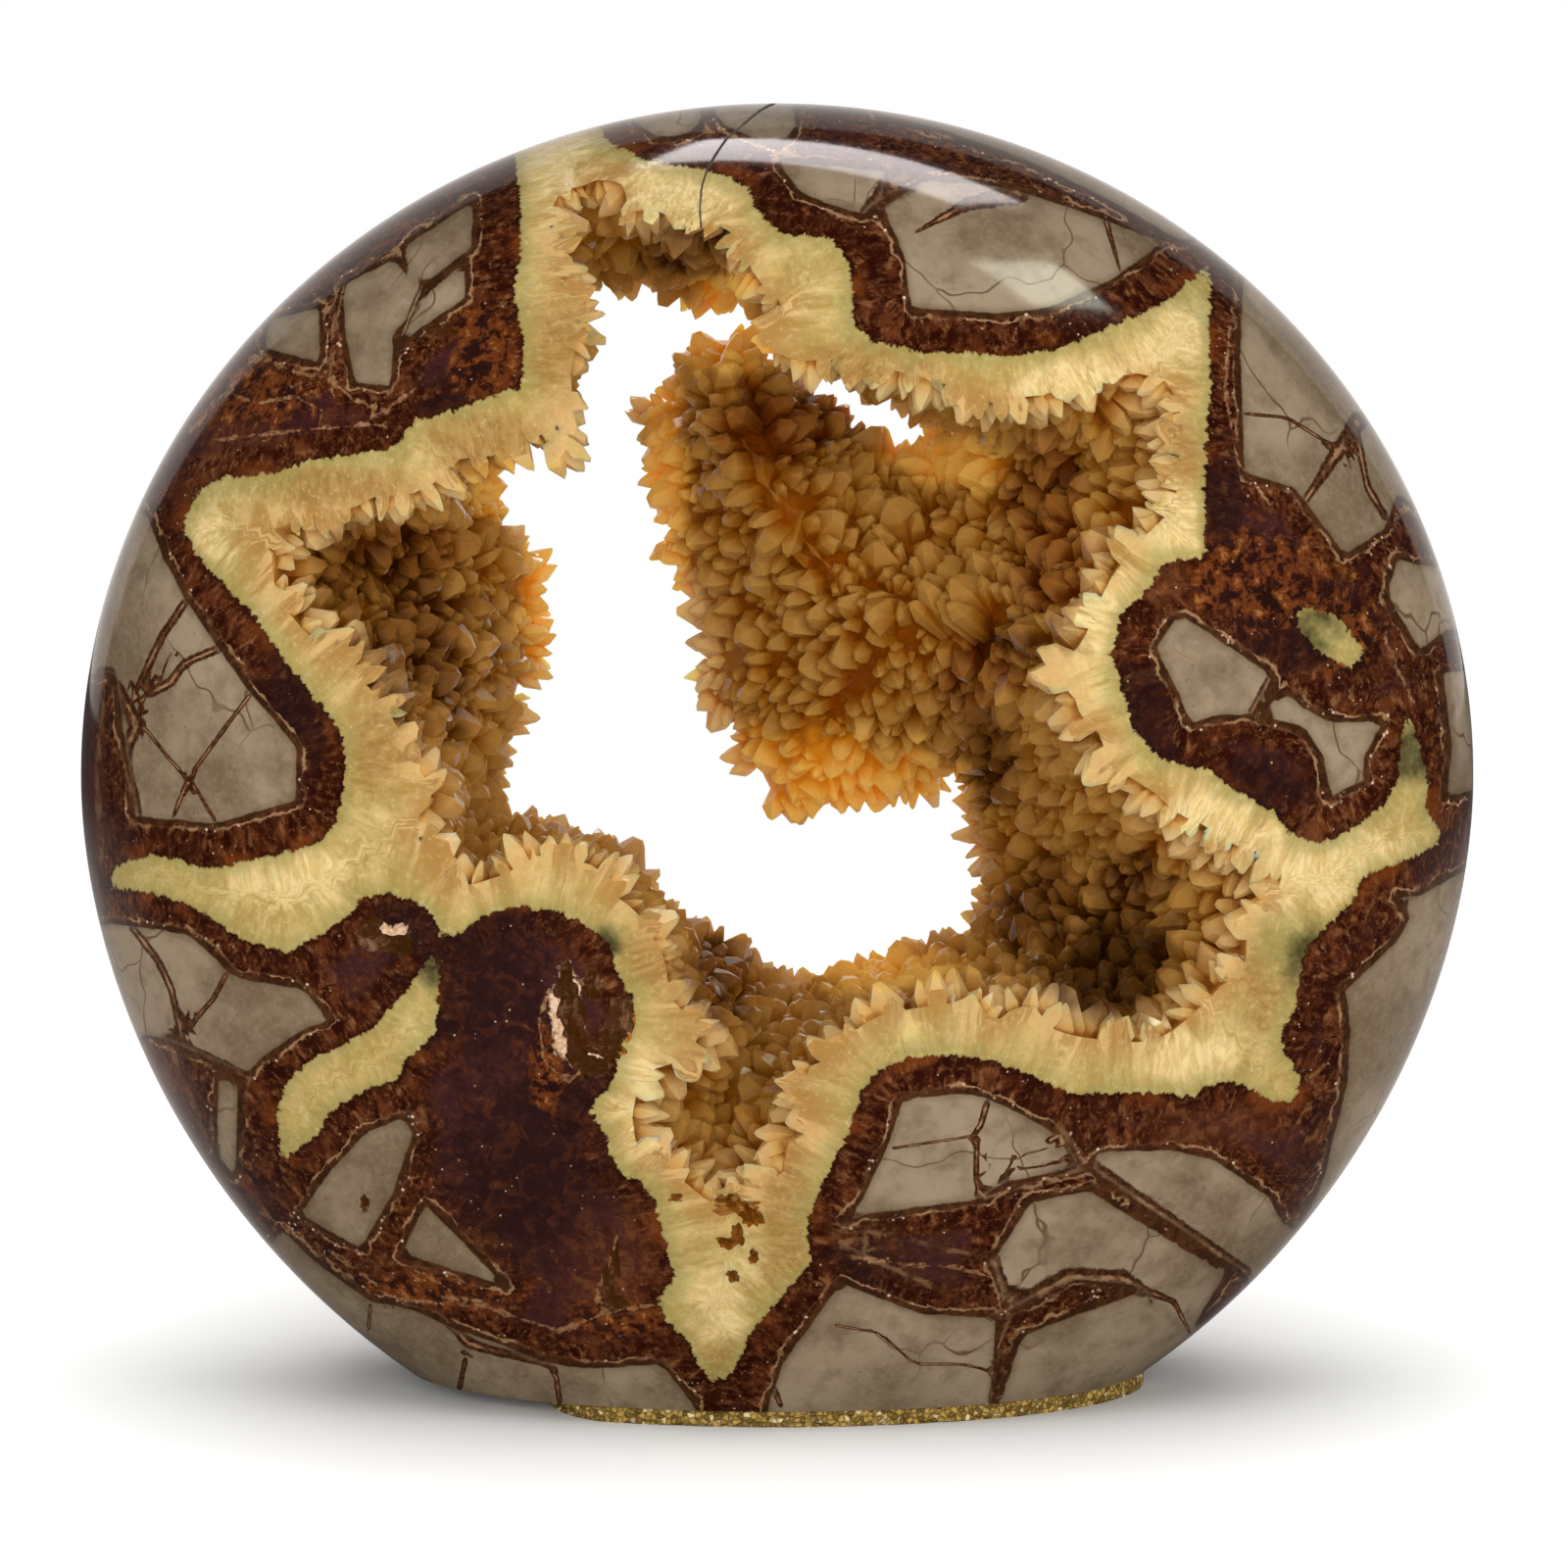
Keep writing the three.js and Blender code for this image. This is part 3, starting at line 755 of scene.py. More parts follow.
def separate_groups(places, reach):
    """A group number for each place, so that no two in a group come within their reach of each other."""
    group = np.full(len(places), -1)
    for index in range(len(places)):
        apart = np.linalg.norm(places - places[index], axis=1)
        taken = set(group[(apart < reach + reach[index]) & (group >= 0)])
        number = 0
        while number in taken:
            number += 1
        group[index] = number
    return group


class Nodes:
    """Adds nodes to a tree and joins them up; a value is a number, a colour or another node's output."""

    def __init__(self, tree):
        self.tree = tree

    def add(self, kind, **settings):
        node = self.tree.nodes.new(kind)
        for name, value in settings.items():
            setattr(node, name, value)
        return node

    def put(self, socket, value):
        if isinstance(value, bpy.types.NodeSocket):
            self.tree.links.new(value, socket)
        elif value is not None:
            socket.default_value = value

    def fill(self, node, **values):
        for name, value in values.items():
            self.put(node.inputs[name.replace("_", " ")], value)
        return node


def socket_list(tree, inputs=(), outputs=()):
    """Gives a node group its named inputs and outputs."""
    for name, kind, value in inputs:
        socket = tree.interface.new_socket(name, in_out="INPUT", socket_type="NodeSocket" + kind)
        if value is not None:
            socket.default_value = value
    for name, kind in outputs:
        tree.interface.new_socket(name, in_out="OUTPUT", socket_type="NodeSocket" + kind)


def grow_tree():
    """Stands sprays on their roots a group at a time, joins each group on, and cuts all flush."""
    tree = bpy.data.node_groups.new("grow_crystals", "GeometryNodeTree")
    inputs = (("Geometry", "Geometry", None), ("Roots", "Object", None), ("Sprays", "Collection", None),
              ("Groups", "Int", 1), ("Polished Body", "Object", None), ("Crystal Size", "Float", 1.0),
              ("Material", "Material", None))
    socket_list(tree, inputs, (("Geometry", "Geometry"),))
    make = Nodes(tree)
    given, result = make.add("NodeGroupInput").outputs, make.add("NodeGroupOutput")
    roots = make.fill(make.add("GeometryNodeObjectInfo"), Object=given["Roots"])
    body = make.fill(make.add("GeometryNodeObjectInfo"), Object=given["Polished Body"])
    sprays = make.fill(make.add("GeometryNodeCollectionInfo"), Collection=given["Sprays"],
                       Separate_Children=True, Reset_Children=True)
    start, end = make.add("GeometryNodeRepeatInput"), make.add("GeometryNodeRepeatOutput")
    start.pair_with_output(end)
    make.fill(start, Iterations=given["Groups"], Geometry=given["Geometry"])

    def stored(name, kind):
        node = make.fill(make.add("GeometryNodeInputNamedAttribute", data_type=kind), Name=name)
        return node.outputs["Attribute"]

    in_group = make.add("FunctionNodeCompare", data_type="INT", operation="EQUAL")
    make.put(in_group.inputs[2], stored("group", "INT"))
    make.put(in_group.inputs[3], start.outputs["Iteration"])
    turn = make.fill(make.add("FunctionNodeEulerToRotation"), Euler=stored("turn", "FLOAT_VECTOR"))
    scale = make.add("ShaderNodeMath", operation="MULTIPLY")
    make.put(scale.inputs[0], stored("size", "FLOAT"))
    make.put(scale.inputs[1], given["Crystal Size"])
    stand = make.fill(make.add("GeometryNodeInstanceOnPoints"), Points=roots.outputs["Geometry"],
                      Selection=in_group.outputs["Result"], Instance=sprays.outputs["Instances"],
                      Pick_Instance=True, Instance_Index=stored("shape", "INT"), Rotation=turn.outputs[0],
                      Scale=scale.outputs[0])
    real = make.fill(make.add("GeometryNodeRealizeInstances"), Geometry=stand.outputs["Instances"])
    join = make.add("GeometryNodeMeshBoolean", operation="UNION", solver="MANIFOLD")
    make.put(join.inputs["Mesh 2"], real.outputs["Geometry"])
    make.put(join.inputs["Mesh 2"], start.outputs["Geometry"])
    make.fill(end, Geometry=join.outputs["Mesh"])
    flush = make.add("GeometryNodeMeshBoolean", operation="INTERSECT", solver="MANIFOLD")
    make.put(flush.inputs["Mesh 2"], end.outputs["Geometry"])
    make.put(flush.inputs["Mesh 2"], body.outputs["Geometry"])
    done = make.fill(make.add("GeometryNodeRealizeInstances"), Geometry=flush.outputs["Mesh"])
    paint = make.fill(make.add("GeometryNodeSetMaterial"), Geometry=done.outputs["Geometry"],
                      Material=given["Material"])
    make.fill(result, Geometry=paint.outputs["Geometry"])
    return tree


def set_inputs(modifier, **values):
    """Sets a geometry nodes modifier's inputs by their sockets' identifiers."""
    for item in modifier.node_group.interface.items_tree:
        key = item.name.replace(" ", "_")
        if item.in_out == "INPUT" and key in values:
            modifier[item.identifier] = values[key]


def store(mesh, name, kind, values):
    attribute = mesh.attributes.new(name, kind, "POINT")
    attribute.data.foreach_set("vector" if kind == "FLOAT_VECTOR" else "value", np.ravel(values))


def root_points(void):
    """The sprays' roots as loose points that carry each spray's turn, size, shape and group."""
    places, grow, size = crystal_roots(void)
    draw = np.random.default_rng(CRYSTAL_SEED + 100)
    turns = []
    for direction in grow + 0.2 * draw.standard_normal(grow.shape):
        upright = Vector(direction).to_track_quat("Z", "Y").to_matrix()
        turns.append((upright @ Matrix.Rotation(draw.uniform(0, math.tau), 3, "Z")).to_euler())
    group = separate_groups(places + 1.2 * grow, SPRAY_REACH * size)
    roots = mesh_object("crystal_roots", places, [])
    store(roots.data, "turn", "FLOAT_VECTOR", turns)
    store(roots.data, "size", "FLOAT", size)
    store(roots.data, "group", "INT", group)
    blunt = draw.integers(0, SPRAY_SHAPES - POINTED_SHAPES, len(places))
    pointed = draw.integers(SPRAY_SHAPES - POINTED_SHAPES, SPRAY_SHAPES, len(places))
    store(roots.data, "shape", "INT", np.where(depth_under_face(places) < POINTED_DEPTH, pointed, blunt))
    return roots, int(group.max()) + 1


DENT_LEVEL = 4
DENT_WAVES = 16
DENT_WAVE_HEIGHT = 0.075
DENT_GROW = 1.12           # makes up for what the lumps take off its outline


def dent(hole, seed):
    """A lumpy egg that a small hole or a broken pit is cut with."""
    column, row, half_width, half_height, depth = hole
    middle = on_front_face(column, row)
    sphere, faces = ball(DENT_LEVEL, False)
    draw = np.random.default_rng(seed)
    lumps = draw.standard_normal((DENT_WAVES, 3))
    steepness = np.linspace(2.0, 6.5, DENT_WAVES)
    waves = np.sin(steepness * (sphere @ lumps.T) + draw.uniform(0, math.tau, DENT_WAVES))
    lump = 1 + DENT_WAVE_HEIGHT * waves.sum(1)
    half = np.array([half_width * PIXEL, depth, half_height * PIXEL]) * DENT_GROW
    return mesh_object("dent", middle + sphere * np.clip(lump, 0.45, 1.5)[:, None] * half, faces)


ROUGH_LEVEL, POLISHED_LEVEL = 5, 6    # how finely the body is faceted before and after it is ground
ROUGH_GROW = 1.04
ROUGH_DROP = 2.0


def grown_stone(paint):
    """The whole stone in millimetres about its middle."""
    void = crack_void()
    stone = stone_body("nodule_stone", ROUGH_LEVEL, ROUGH_GROW, BASE_DROP + ROUGH_DROP)
    boolean(stone, void, "DIFFERENCE")
    roots, groups = root_points(void)
    sprays = bpy.data.collections.new("sprays")
    for number in range(SPRAY_SHAPES):
        piece = spray(number)
        bpy.context.scene.collection.objects.unlink(piece)
        sprays.objects.link(piece)
    body = stone_body("polished_body", POLISHED_LEVEL, finer_front=True)
    growth = stone.modifiers.new("growth", "NODES")
    growth.node_group = grow_tree()
    set_inputs(growth, Roots=roots, Sprays=sprays, Groups=groups, Polished_Body=body, Crystal_Size=1.0,
               Material=paint)
    replace_mesh(stone)
    dents = dent(CALCITE_HOLES[0], 0)
    for number, hole in enumerate(CALCITE_HOLES[1:] + BROKEN_PITS):
        egg = dent(hole, number + 1)
        boolean(dents, egg, "UNION")
        bpy.data.objects.remove(egg)
    boolean(stone, dents, "DIFFERENCE")
    for helper in (void, roots, body, dents, *sprays.objects):
        bpy.data.objects.remove(helper)
    bpy.data.collections.remove(sprays)
    return stone


KEPT_TRIANGLES = 0.57      # share of the triangles that thinning keeps
ON_FACE = 0.008            # how far from the lens's formula a polished point may be
OVER_BASE = 0.1            # points within this of the flat spot are kept as they are


def lens_excess(points):
    """Zero on the polished surface, negative under it."""
    share = outline_share(points[:, 0], points[:, 2])
    return share ** FACE_POWER + np.abs(points[:, 1] / HALF_DEPTH) ** RIM_POWER - 1


def lens_normals(points, reach=0.05):
    """Outward directions of the polished surface."""
    steps = np.eye(3) * reach
    slope = np.stack([lens_excess(points + step) - lens_excess(points - step) for step in steps], 1)
    return slope / np.maximum(np.linalg.norm(slope, axis=1)[:, None], 1e-12)


def drop_folded(mesh):
    """Makes a mesh all triangles, and takes out pairs that lie back to back on the same three points."""
    with edited(mesh) as shape:
        bmesh.ops.triangulate(shape, faces=shape.faces[:], ngon_method="BEAUTY")
        same = {}
        for face in shape.faces:
            same.setdefault(frozenset(vert.index for vert in face.verts), []).append(face)
        folded = [face for faces in same.values() if len(faces) == 2 for face in faces]
        bmesh.ops.delete(shape, geom=folded, context="FACES")


def thin_out(stone):
    """Joins up short edges among the crystals; the polished faces keep theirs."""
    drop_folded(stone.data)
    points = vertex_array(stone.data, "co")
    inner = (np.abs(lens_excess(points)) > ON_FACE) & (points[:, 2] > OVER_BASE - BASE_DROP)
    stone.vertex_groups.new(name="inner").add(np.nonzero(inner)[0].tolist(), 1.0, "REPLACE")
    thinning = stone.modifiers.new("thinning", "DECIMATE")
    thinning.ratio, thinning.vertex_group = KEPT_TRIANGLES, "inner"
    replace_mesh(stone)
    drop_folded(stone.data)
    stone.vertex_groups.clear()


# ---------------------------------------------------------------- marks on the stone, kept on its points
BACK_RIND = 8.0            # calcite round the back opening, in millimetres
BACK_BAND = 5.2            # the brown band outside it
MIN_RIND = 4.5             # the least calcite anywhere round the crack
TURN_OVER = (-6, 18)       # the depths between which the front's pattern turns into the back's


def hollowness(mesh, points):
    """How far each point lies in a hollow among its neighbours: negative on tips and ridges."""
    edges = read_all(mesh.edges, "vertices", 2, np.int32)
    outward = vertex_array(mesh, "normal")
    along = points[edges[:, 1]] - points[edges[:, 0]]
    along /= np.maximum(np.linalg.norm(along, axis=1)[:, None], 1e-9)
    count = np.bincount(edges.ravel(), minlength=len(points))

    def mean(start, end):
        total = np.bincount(edges[:, 0], start, len(points)) + np.bincount(edges[:, 1], end, len(points))
        return total / np.maximum(count, 1)

    hollow = mean((along * outward[edges[:, 0]]).sum(1), -(along * outward[edges[:, 1]]).sum(1))
    return 0.5 * hollow + 0.5 * mean(hollow[edges[:, 1]], hollow[edges[:, 0]])


def store_marks(mesh):
    """Stores how far each point is from the markings, where the front's pattern turns into the back's."""
    points = vertex_array(mesh, "co")
    places = view_pixels(points)
    mirrored = places * (-1, 1) + (2 * VIEW_MIDDLE[0], 0)
    turn = smooth_step(points[:, 1], *TURN_OVER)
    calcite, right, up = region_field(FRONT_CALCITE)
    island, island_right, island_up = region_field(CALCITE_ISLAND)
    right, up = np.where(island < calcite, (island_right, island_up), (right, up))
    front_calcite = read_field(np.minimum(calcite, island), places)
    arms = line_field(BACK_ARMS)[3]
    back_calcite = np.minimum(read_field(BACK_FIELD, places) - BACK_RIND, read_field(arms, places))
    blocks = np.minimum.reduce([region_field(block)[0] for block in MUDSTONE_BLOCKS])
    more_blocks = np.minimum.reduce([region_field(block)[0] for block in BACK_BLOCKS])
    back_blocks = np.minimum(read_field(blocks, mirrored) - 1.0, read_field(more_blocks, mirrored))
    back_blocks = np.maximum(BACK_BAND - back_calcite, back_blocks)
    to_calcite = front_calcite * (1 - turn) + back_calcite * turn
    in_wall = crack_field(points)
    to_calcite = np.minimum(to_calcite, in_wall - MIN_RIND)
    to_block = read_field(blocks, places) * (1 - turn) + back_blocks * turn
    streak = (0.88 - 0.26 * smooth_step(to_calcite, 0, 0.5)) * (1 - smooth_step(to_calcite, 5, 10))
    offset = [read_field(right, places) * (1 - turn) + read_field(BACK_RIGHT, places) * turn, 0 * turn,
              read_field(up, places) * (1 - turn) + read_field(BACK_UP, places) * turn]
    flat = np.stack([(places[:, 0] - VIEW_MIDDLE[0]) * PIXEL, points[:, 1],
                     (VIEW_MIDDLE[1] - places[:, 1]) * PIXEL], 1)
    spots = [1 - np.hypot(places[:, 0] - x, places[:, 1] - y) / r for x, y, r in GREEN_SPOTS]

    def spread(patches):
        """One at the middle of the nearest patch, zero at its edge, and negative outside it."""
        across, down = places[:, 0], places[:, 1]
        return np.max([1 - np.hypot((across - x) / a, (down - y) / b) for x, y, a, b in patches], 0)

    store(mesh, "to_calcite", "FLOAT", to_calcite)
    store(mesh, "to_block", "FLOAT", to_block)
    store(mesh, "in_wall", "FLOAT", in_wall)
    store(mesh, "grain", "FLOAT_VECTOR", flat + streak[:, None] * np.stack(offset, 1))
    store(mesh, "green", "FLOAT", np.clip(np.max(spots, 0), 0, 1) * (1 - turn))
    for name, patches in PATCHES.items():
        store(mesh, name, "FLOAT", np.maximum(spread(patches), -1) - turn * (name in FRONT_ONLY))
    # Depth under the faces and how hollow each point lies: the crystals' colours darken with both, partly as
    # painted shade.
    store(mesh, "sunk", "FLOAT", depth_under_face(points))
    store(mesh, "hollow", "FLOAT", hollowness(mesh, points))
    for name, lines in (("vein", VEINS), ("thread", THREADS), ("fissure", (FISSURE,))):
        fields = line_field(lines)[:3]
        front = np.stack([read_field(field, places) for field in fields], 1)
        back = np.stack([read_field(field, mirrored) for field in fields], 1)
        store(mesh, name, "FLOAT_VECTOR", np.where(turn[:, None] < 0.5, front, back))
    return to_calcite, in_wall


MUDSTONE_SLOT, CALCITE_SLOT, CRYSTAL_SLOT, BROKEN_SLOT = range(4)
CRYSTAL_EDGE = math.radians(20)
FACES_OUT = 0.85           # how squarely a polished triangle faces as the lens's formula does there
NEAR_BASE = 0.05
CALCITE_START = 0.2        # how far inside its outline the calcite's own shading starts


def finish_faces(stone, paints):
    """Gives each face its material, and the polished faces their true smooth normals."""
    mesh = stone.data
    to_calcite, in_wall = store_marks(mesh)
    points = vertex_array(mesh, "co")
    corners = read_all(mesh.polygons, "vertices", kind=int)
    flat = read_all(mesh.polygons, "normal")
    middle = points[corners].mean(1)
    excess = np.abs(lens_excess(points))[corners].max(1)
    polished = (excess < ON_FACE) & ((flat * lens_normals(middle)).sum(1) > FACES_OUT)
    ground = points[corners][..., 2].max(1) < NEAR_BASE - BASE_DROP
    calcite = to_calcite[corners].mean(1) < -CALCITE_START
    slots = np.where(polished | ground, np.where(calcite, CALCITE_SLOT, MUDSTONE_SLOT),
                     np.where(calcite | (in_wall[corners].mean(1) < MIN_RIND), CRYSTAL_SLOT, BROKEN_SLOT))
    mesh.materials.clear()
    for paint in paints:
        mesh.materials.append(paint)
    mesh.polygons.foreach_set("material_index", slots.astype(np.int32))
    mesh.set_sharp_from_angle(angle=CRYSTAL_EDGE)
    normals = read_all(mesh.corner_normals, "vector").reshape(-1, 3, 3).astype(float)
    normals[polished] = lens_normals(points[corners[polished]].reshape(-1, 3)).reshape(-1, 3, 3)
    mesh.normals_split_custom_set(normals.reshape(-1, 3).tolist())


# ---------------------------------------------------------------- colours and shading
def srgb(red, green, blue):
    """A colour given from 0 to 255 as it looks on a screen, as linear light."""
    linear = [v / 255 / 12.92 if v / 255 <= 0.04045 else ((v / 255 + 0.055) / 1.055) ** 2.4
              for v in (red, green, blue)]
    return (*linear, 1.0)


MUDSTONE_COLOURS = {
    "Mudstone": (160, 140, 114), "Mudstone Shade": (122, 102, 78), "Mudstone Grit": (172, 152, 126),
    "Mudstone Mottle": (108, 88, 64), "Pinhole": (62, 46, 30), "Hairline": (88, 60, 32),
    "Block Edge": (96, 76, 50),
}
BROWN_COLOURS = {
    "Dark Brown": (42, 9, 2), "Red Brown": (92, 46, 22), "Warm Brown": (104, 50, 20),
    "Purple Brown": (62, 31, 31),
    "Rust": (152, 106, 66), "Deep Rust": (80, 28, 8), "Bright Rust": (140, 72, 26), "Granule": (124, 72, 40),
    "Ruddy Shade": (84, 40, 22), "Ruddy": (128, 76, 42), "Burnt Shade": (36, 17, 16), "Burnt": (62, 30, 20),
    "Lump Shade": (34, 12, 8), "Lump": (112, 56, 20), "Lump Crest": (168, 108, 56),
    "Chip Shade": (196, 146, 106), "Chip": (236, 204, 172), "Speck": (228, 198, 166),
    "Halo": (52, 30, 14), "Pale Halo": (84, 50, 26), "Tan Line": (172, 132, 94), "Thread": (150, 106, 70),
    "Vein Shade": (54, 26, 12), "Vein": (96, 56, 30), "Fissure": (44, 26, 12),
}
CALCITE_COLOURS = {
    "Yellow Calcite": (193, 163, 99), "Pale Calcite": (226, 200, 138), "Green Calcite": (168, 154, 90),
    "Pale Fibre": (236, 212, 156), "Dark Fibre": (160, 128, 62), "Shaded Puff": (182, 158, 88),
    "Light Puff": (242, 224, 148), "Honey Calcite": (184, 138, 74), "Cream Calcite": (222, 182, 122),
    "Cloudy Shade": (228, 198, 134), "Cloudy Calcite": (248, 226, 170), "Dusky Shade": (160, 120, 58),
    "Dusky Calcite": (184, 146, 84), "Column Seam": (142, 96, 40), "Sugar": (242, 222, 170),
    "Sugar Shade": (156, 128, 66), "Green Dark": (34, 40, 28), "Green Dusk": (88, 84, 40),
    "Calcite Edge": (110, 84, 40),
}
# The tip, middle and deep colours darken down into the hollows between crystals, and the face colours by the
# polished faces are paler: partly the crystals' own tone, partly painted shade and highlight. Then come pairs
# for a painted glow, as of light from behind, for orange painted shade and for painted shade in deep pockets,
# a near black for crystals under burnt patches, and the colour of the emitted painted glow.
CRYSTAL_COLOURS = {
    "Face Tip": (219, 181, 126), "Face Middle": (206, 162, 94), "Face Deep": (168, 110, 44),
    "Tip": (172, 128, 62), "Middle": (150, 92, 20), "Deep": (136, 58, 0),
    "Amber Tip": (220, 172, 86), "Amber": (204, 132, 30), "Ember Tip": (148, 92, 34), "Ember": (104, 42, 0),
    "Smoke Tip": (116, 72, 24), "Smoke": (62, 24, 2), "Burnt": (34, 14, 2), "Glow": (220, 138, 14),
}
# Broken stone in the crack takes the crystals' pattern: darker down in hollows and further in, lighter on
# crests, partly its own tone and partly painted shade and highlight, with the same painted glow and painted
# shade patches
BROKEN_COLOURS = {
    "Tip": (196, 140, 100), "Middle": (112, 66, 40), "Deep": (70, 36, 20),
    "Face Tip": (206, 156, 116), "Face Middle": (104, 60, 38), "Face Deep": (58, 28, 16),
}
CORK_COLOURS = {
    "Granule": (196, 160, 82), "Dark Granule": (128, 100, 46), "Pale Granule": (240, 216, 156),
    "Gap": (80, 60, 28),
}
PATTERN_OUTPUTS = (("Color", "Color"), ("Roughness", "Float"), ("Height", "Float"))


def colour_inputs(*palettes):
    return [(name, "Color", srgb(*shade)) for palette in palettes for name, shade in palette.items()]


class Paint(Nodes):
    """Short ways to say sums, mixes, noises and ramps in a shader tree."""

    def sum(self, operation, first, second=None, third=None):
        node = self.add("ShaderNodeMath", operation=operation)
        for socket, value in zip(node.inputs, (first, second, third)):
            self.put(socket, value)
        return node.outputs[0]

    def times(self, first, second):
        return self.sum("MULTIPLY", first, second)

    def shift(self, value, by, share):
        """A value moved by a share of another."""
        return self.sum("MULTIPLY_ADD", by, share, value)

    def centred(self, value):
        return self.sum("SUBTRACT", value, 0.5)

    def band(self, value, low, high, start=0.0, end=1.0):
        """Rises smoothly from start to end as the value goes from low to high."""
        node = self.add("ShaderNodeMapRange", interpolation_type="SMOOTHSTEP")
        self.fill(node, Value=value, From_Min=low, From_Max=high, To_Min=start, To_Max=end)
        return node.outputs["Result"]

    def mix(self, share, first, second):
        node = self.add("ShaderNodeMix", data_type="RGBA", blend_type="MIX")
        for socket, value in zip((node.inputs[0], node.inputs[6], node.inputs[7]), (share, first, second)):
            self.put(socket, value)
        return node.outputs[2]

    def blend(self, first, second, value, low, high, start=0.0, end=1.0):
        """One colour turning into another: the second's share goes from start to end over the band."""
        return self.mix(self.band(value, low, high, start, end), first, second)

    def noise(self, place, scale, detail=2.0, roughness=0.5, distortion=0.0, output="Fac"):
        node = self.add("ShaderNodeTexNoise")
        self.fill(node, Vector=place, Scale=scale, Detail=detail, Roughness=roughness, Distortion=distortion)
        return node.outputs[output]

    def cells(self, place, scale, feature="F1", output="Distance"):
        node = self.add("ShaderNodeTexVoronoi", feature=feature)
        self.fill(node, Vector=place, Scale=scale)
        return node.outputs[output]

    def stored(self, name, output="Fac"):
        return self.add("ShaderNodeAttribute", attribute_name=name).outputs[output]

    def scaled(self, vector, scale):
        node = self.add("ShaderNodeVectorMath", operation="SCALE")
        self.put(node.inputs[0], vector)
        self.put(node.inputs["Scale"], scale)
        return node.outputs[0]

    def place(self):
        """The point on the piece, in millimetres."""
        return self.scaled(self.add("ShaderNodeTexCoord").outputs["Object"], 1 / MM)

    def parts(self, vector):
        node = self.add("ShaderNodeSeparateXYZ")
        self.put(node.inputs[0], vector)
        return node.outputs

    def to_line(self, name):
        """How far a stored line is, in its own half widths."""
        across, up, far = self.parts(self.stored(name, "Vector"))
        square = self.sum("ADD", self.times(across, across), self.times(up, up))
        return self.sum("MAXIMUM", self.sum("SQRT", square), far)


def stone_noises(make):
    """The noises that several of the stone's colours share, and the ragged distances to its markings."""
    place, grain = make.place(), make.stored("grain", "Vector")
    seen = SimpleNamespace(place=place, grain=grain)
    seen.ragged = make.centred(make.noise(place, 0.55, 4.0, 0.6))
    seen.fine = make.centred(make.noise(place, 2.4, 3.0, 0.6))
    seen.column = make.noise(grain, 0.75, 3.0, 0.6)
    seen.thin_column = make.noise(grain, 1.5, 3.0, 0.6)
    seen.patch = make.noise(place, 0.5, 4.0, 0.7, 0.8)
    seen.granule = make.noise(place, 1.5, 4.0, 0.75)
    seen.grit = make.noise(place, 1.6, 3.0, 0.7)
    seen.fibre = make.noise(grain, 1.7, 4.0, 0.68)
    to_calcite = make.shift(make.stored("to_calcite"), seen.ragged, 0.9)
    to_calcite = make.shift(to_calcite, seen.fine, 0.3)
    seen.to_calcite = make.shift(to_calcite, make.centred(seen.thin_column), 1.5)
    seen.to_block = make.shift(make.shift(make.stored("to_block"), seen.ragged, 0.45), seen.fine, 0.12)
    return seen


def mudstone_colour(make, given, seen):
    """Grey blocks: clouded and gritty, pricked with holes and crossed by hairlines."""
    cloud = make.noise(seen.place, 0.07, 4.0, 0.6)
    grey = make.blend(given["Mudstone Shade"], given["Mudstone"], cloud, 0.38, 0.62)
    grey = make.blend(grey, given["Mudstone Grit"], seen.grit, 0.36, 0.8, 0.0, 0.4)
    mottle = make.noise(seen.place, 0.35, 5.0, 0.6)
    grey = make.blend(grey, given["Mudstone Mottle"], mottle, 0.46, 0.7, 0.0, 0.5)
    grey = make.blend(grey, given["Pinhole"], make.cells(seen.place, 0.55), 0.04, 0.08, 0.5, 0.0)
    bent = make.add("ShaderNodeVectorMath", operation="MULTIPLY_ADD")
    bend = make.noise(seen.place, 0.12, 2.0, output="Color")
    for socket, value in zip(bent.inputs, (bend, (9.0, 9.0, 9.0), seen.place)):
        make.put(socket, value)
    hairline = make.band(make.cells(bent.outputs[0], 0.055, "DISTANCE_TO_EDGE"), 0.003, 0.010, 1.0, 0.0)
    hairline = make.times(hairline, make.band(make.noise(seen.place, 0.07, 2.0), 0.47, 0.6, 0.0, 0.8))
    grey = make.mix(hairline, grey, given["Hairline"])
    return make.blend(grey, given["Block Edge"], seen.to_block, -0.9, 0.0, 0.0, 0.4)


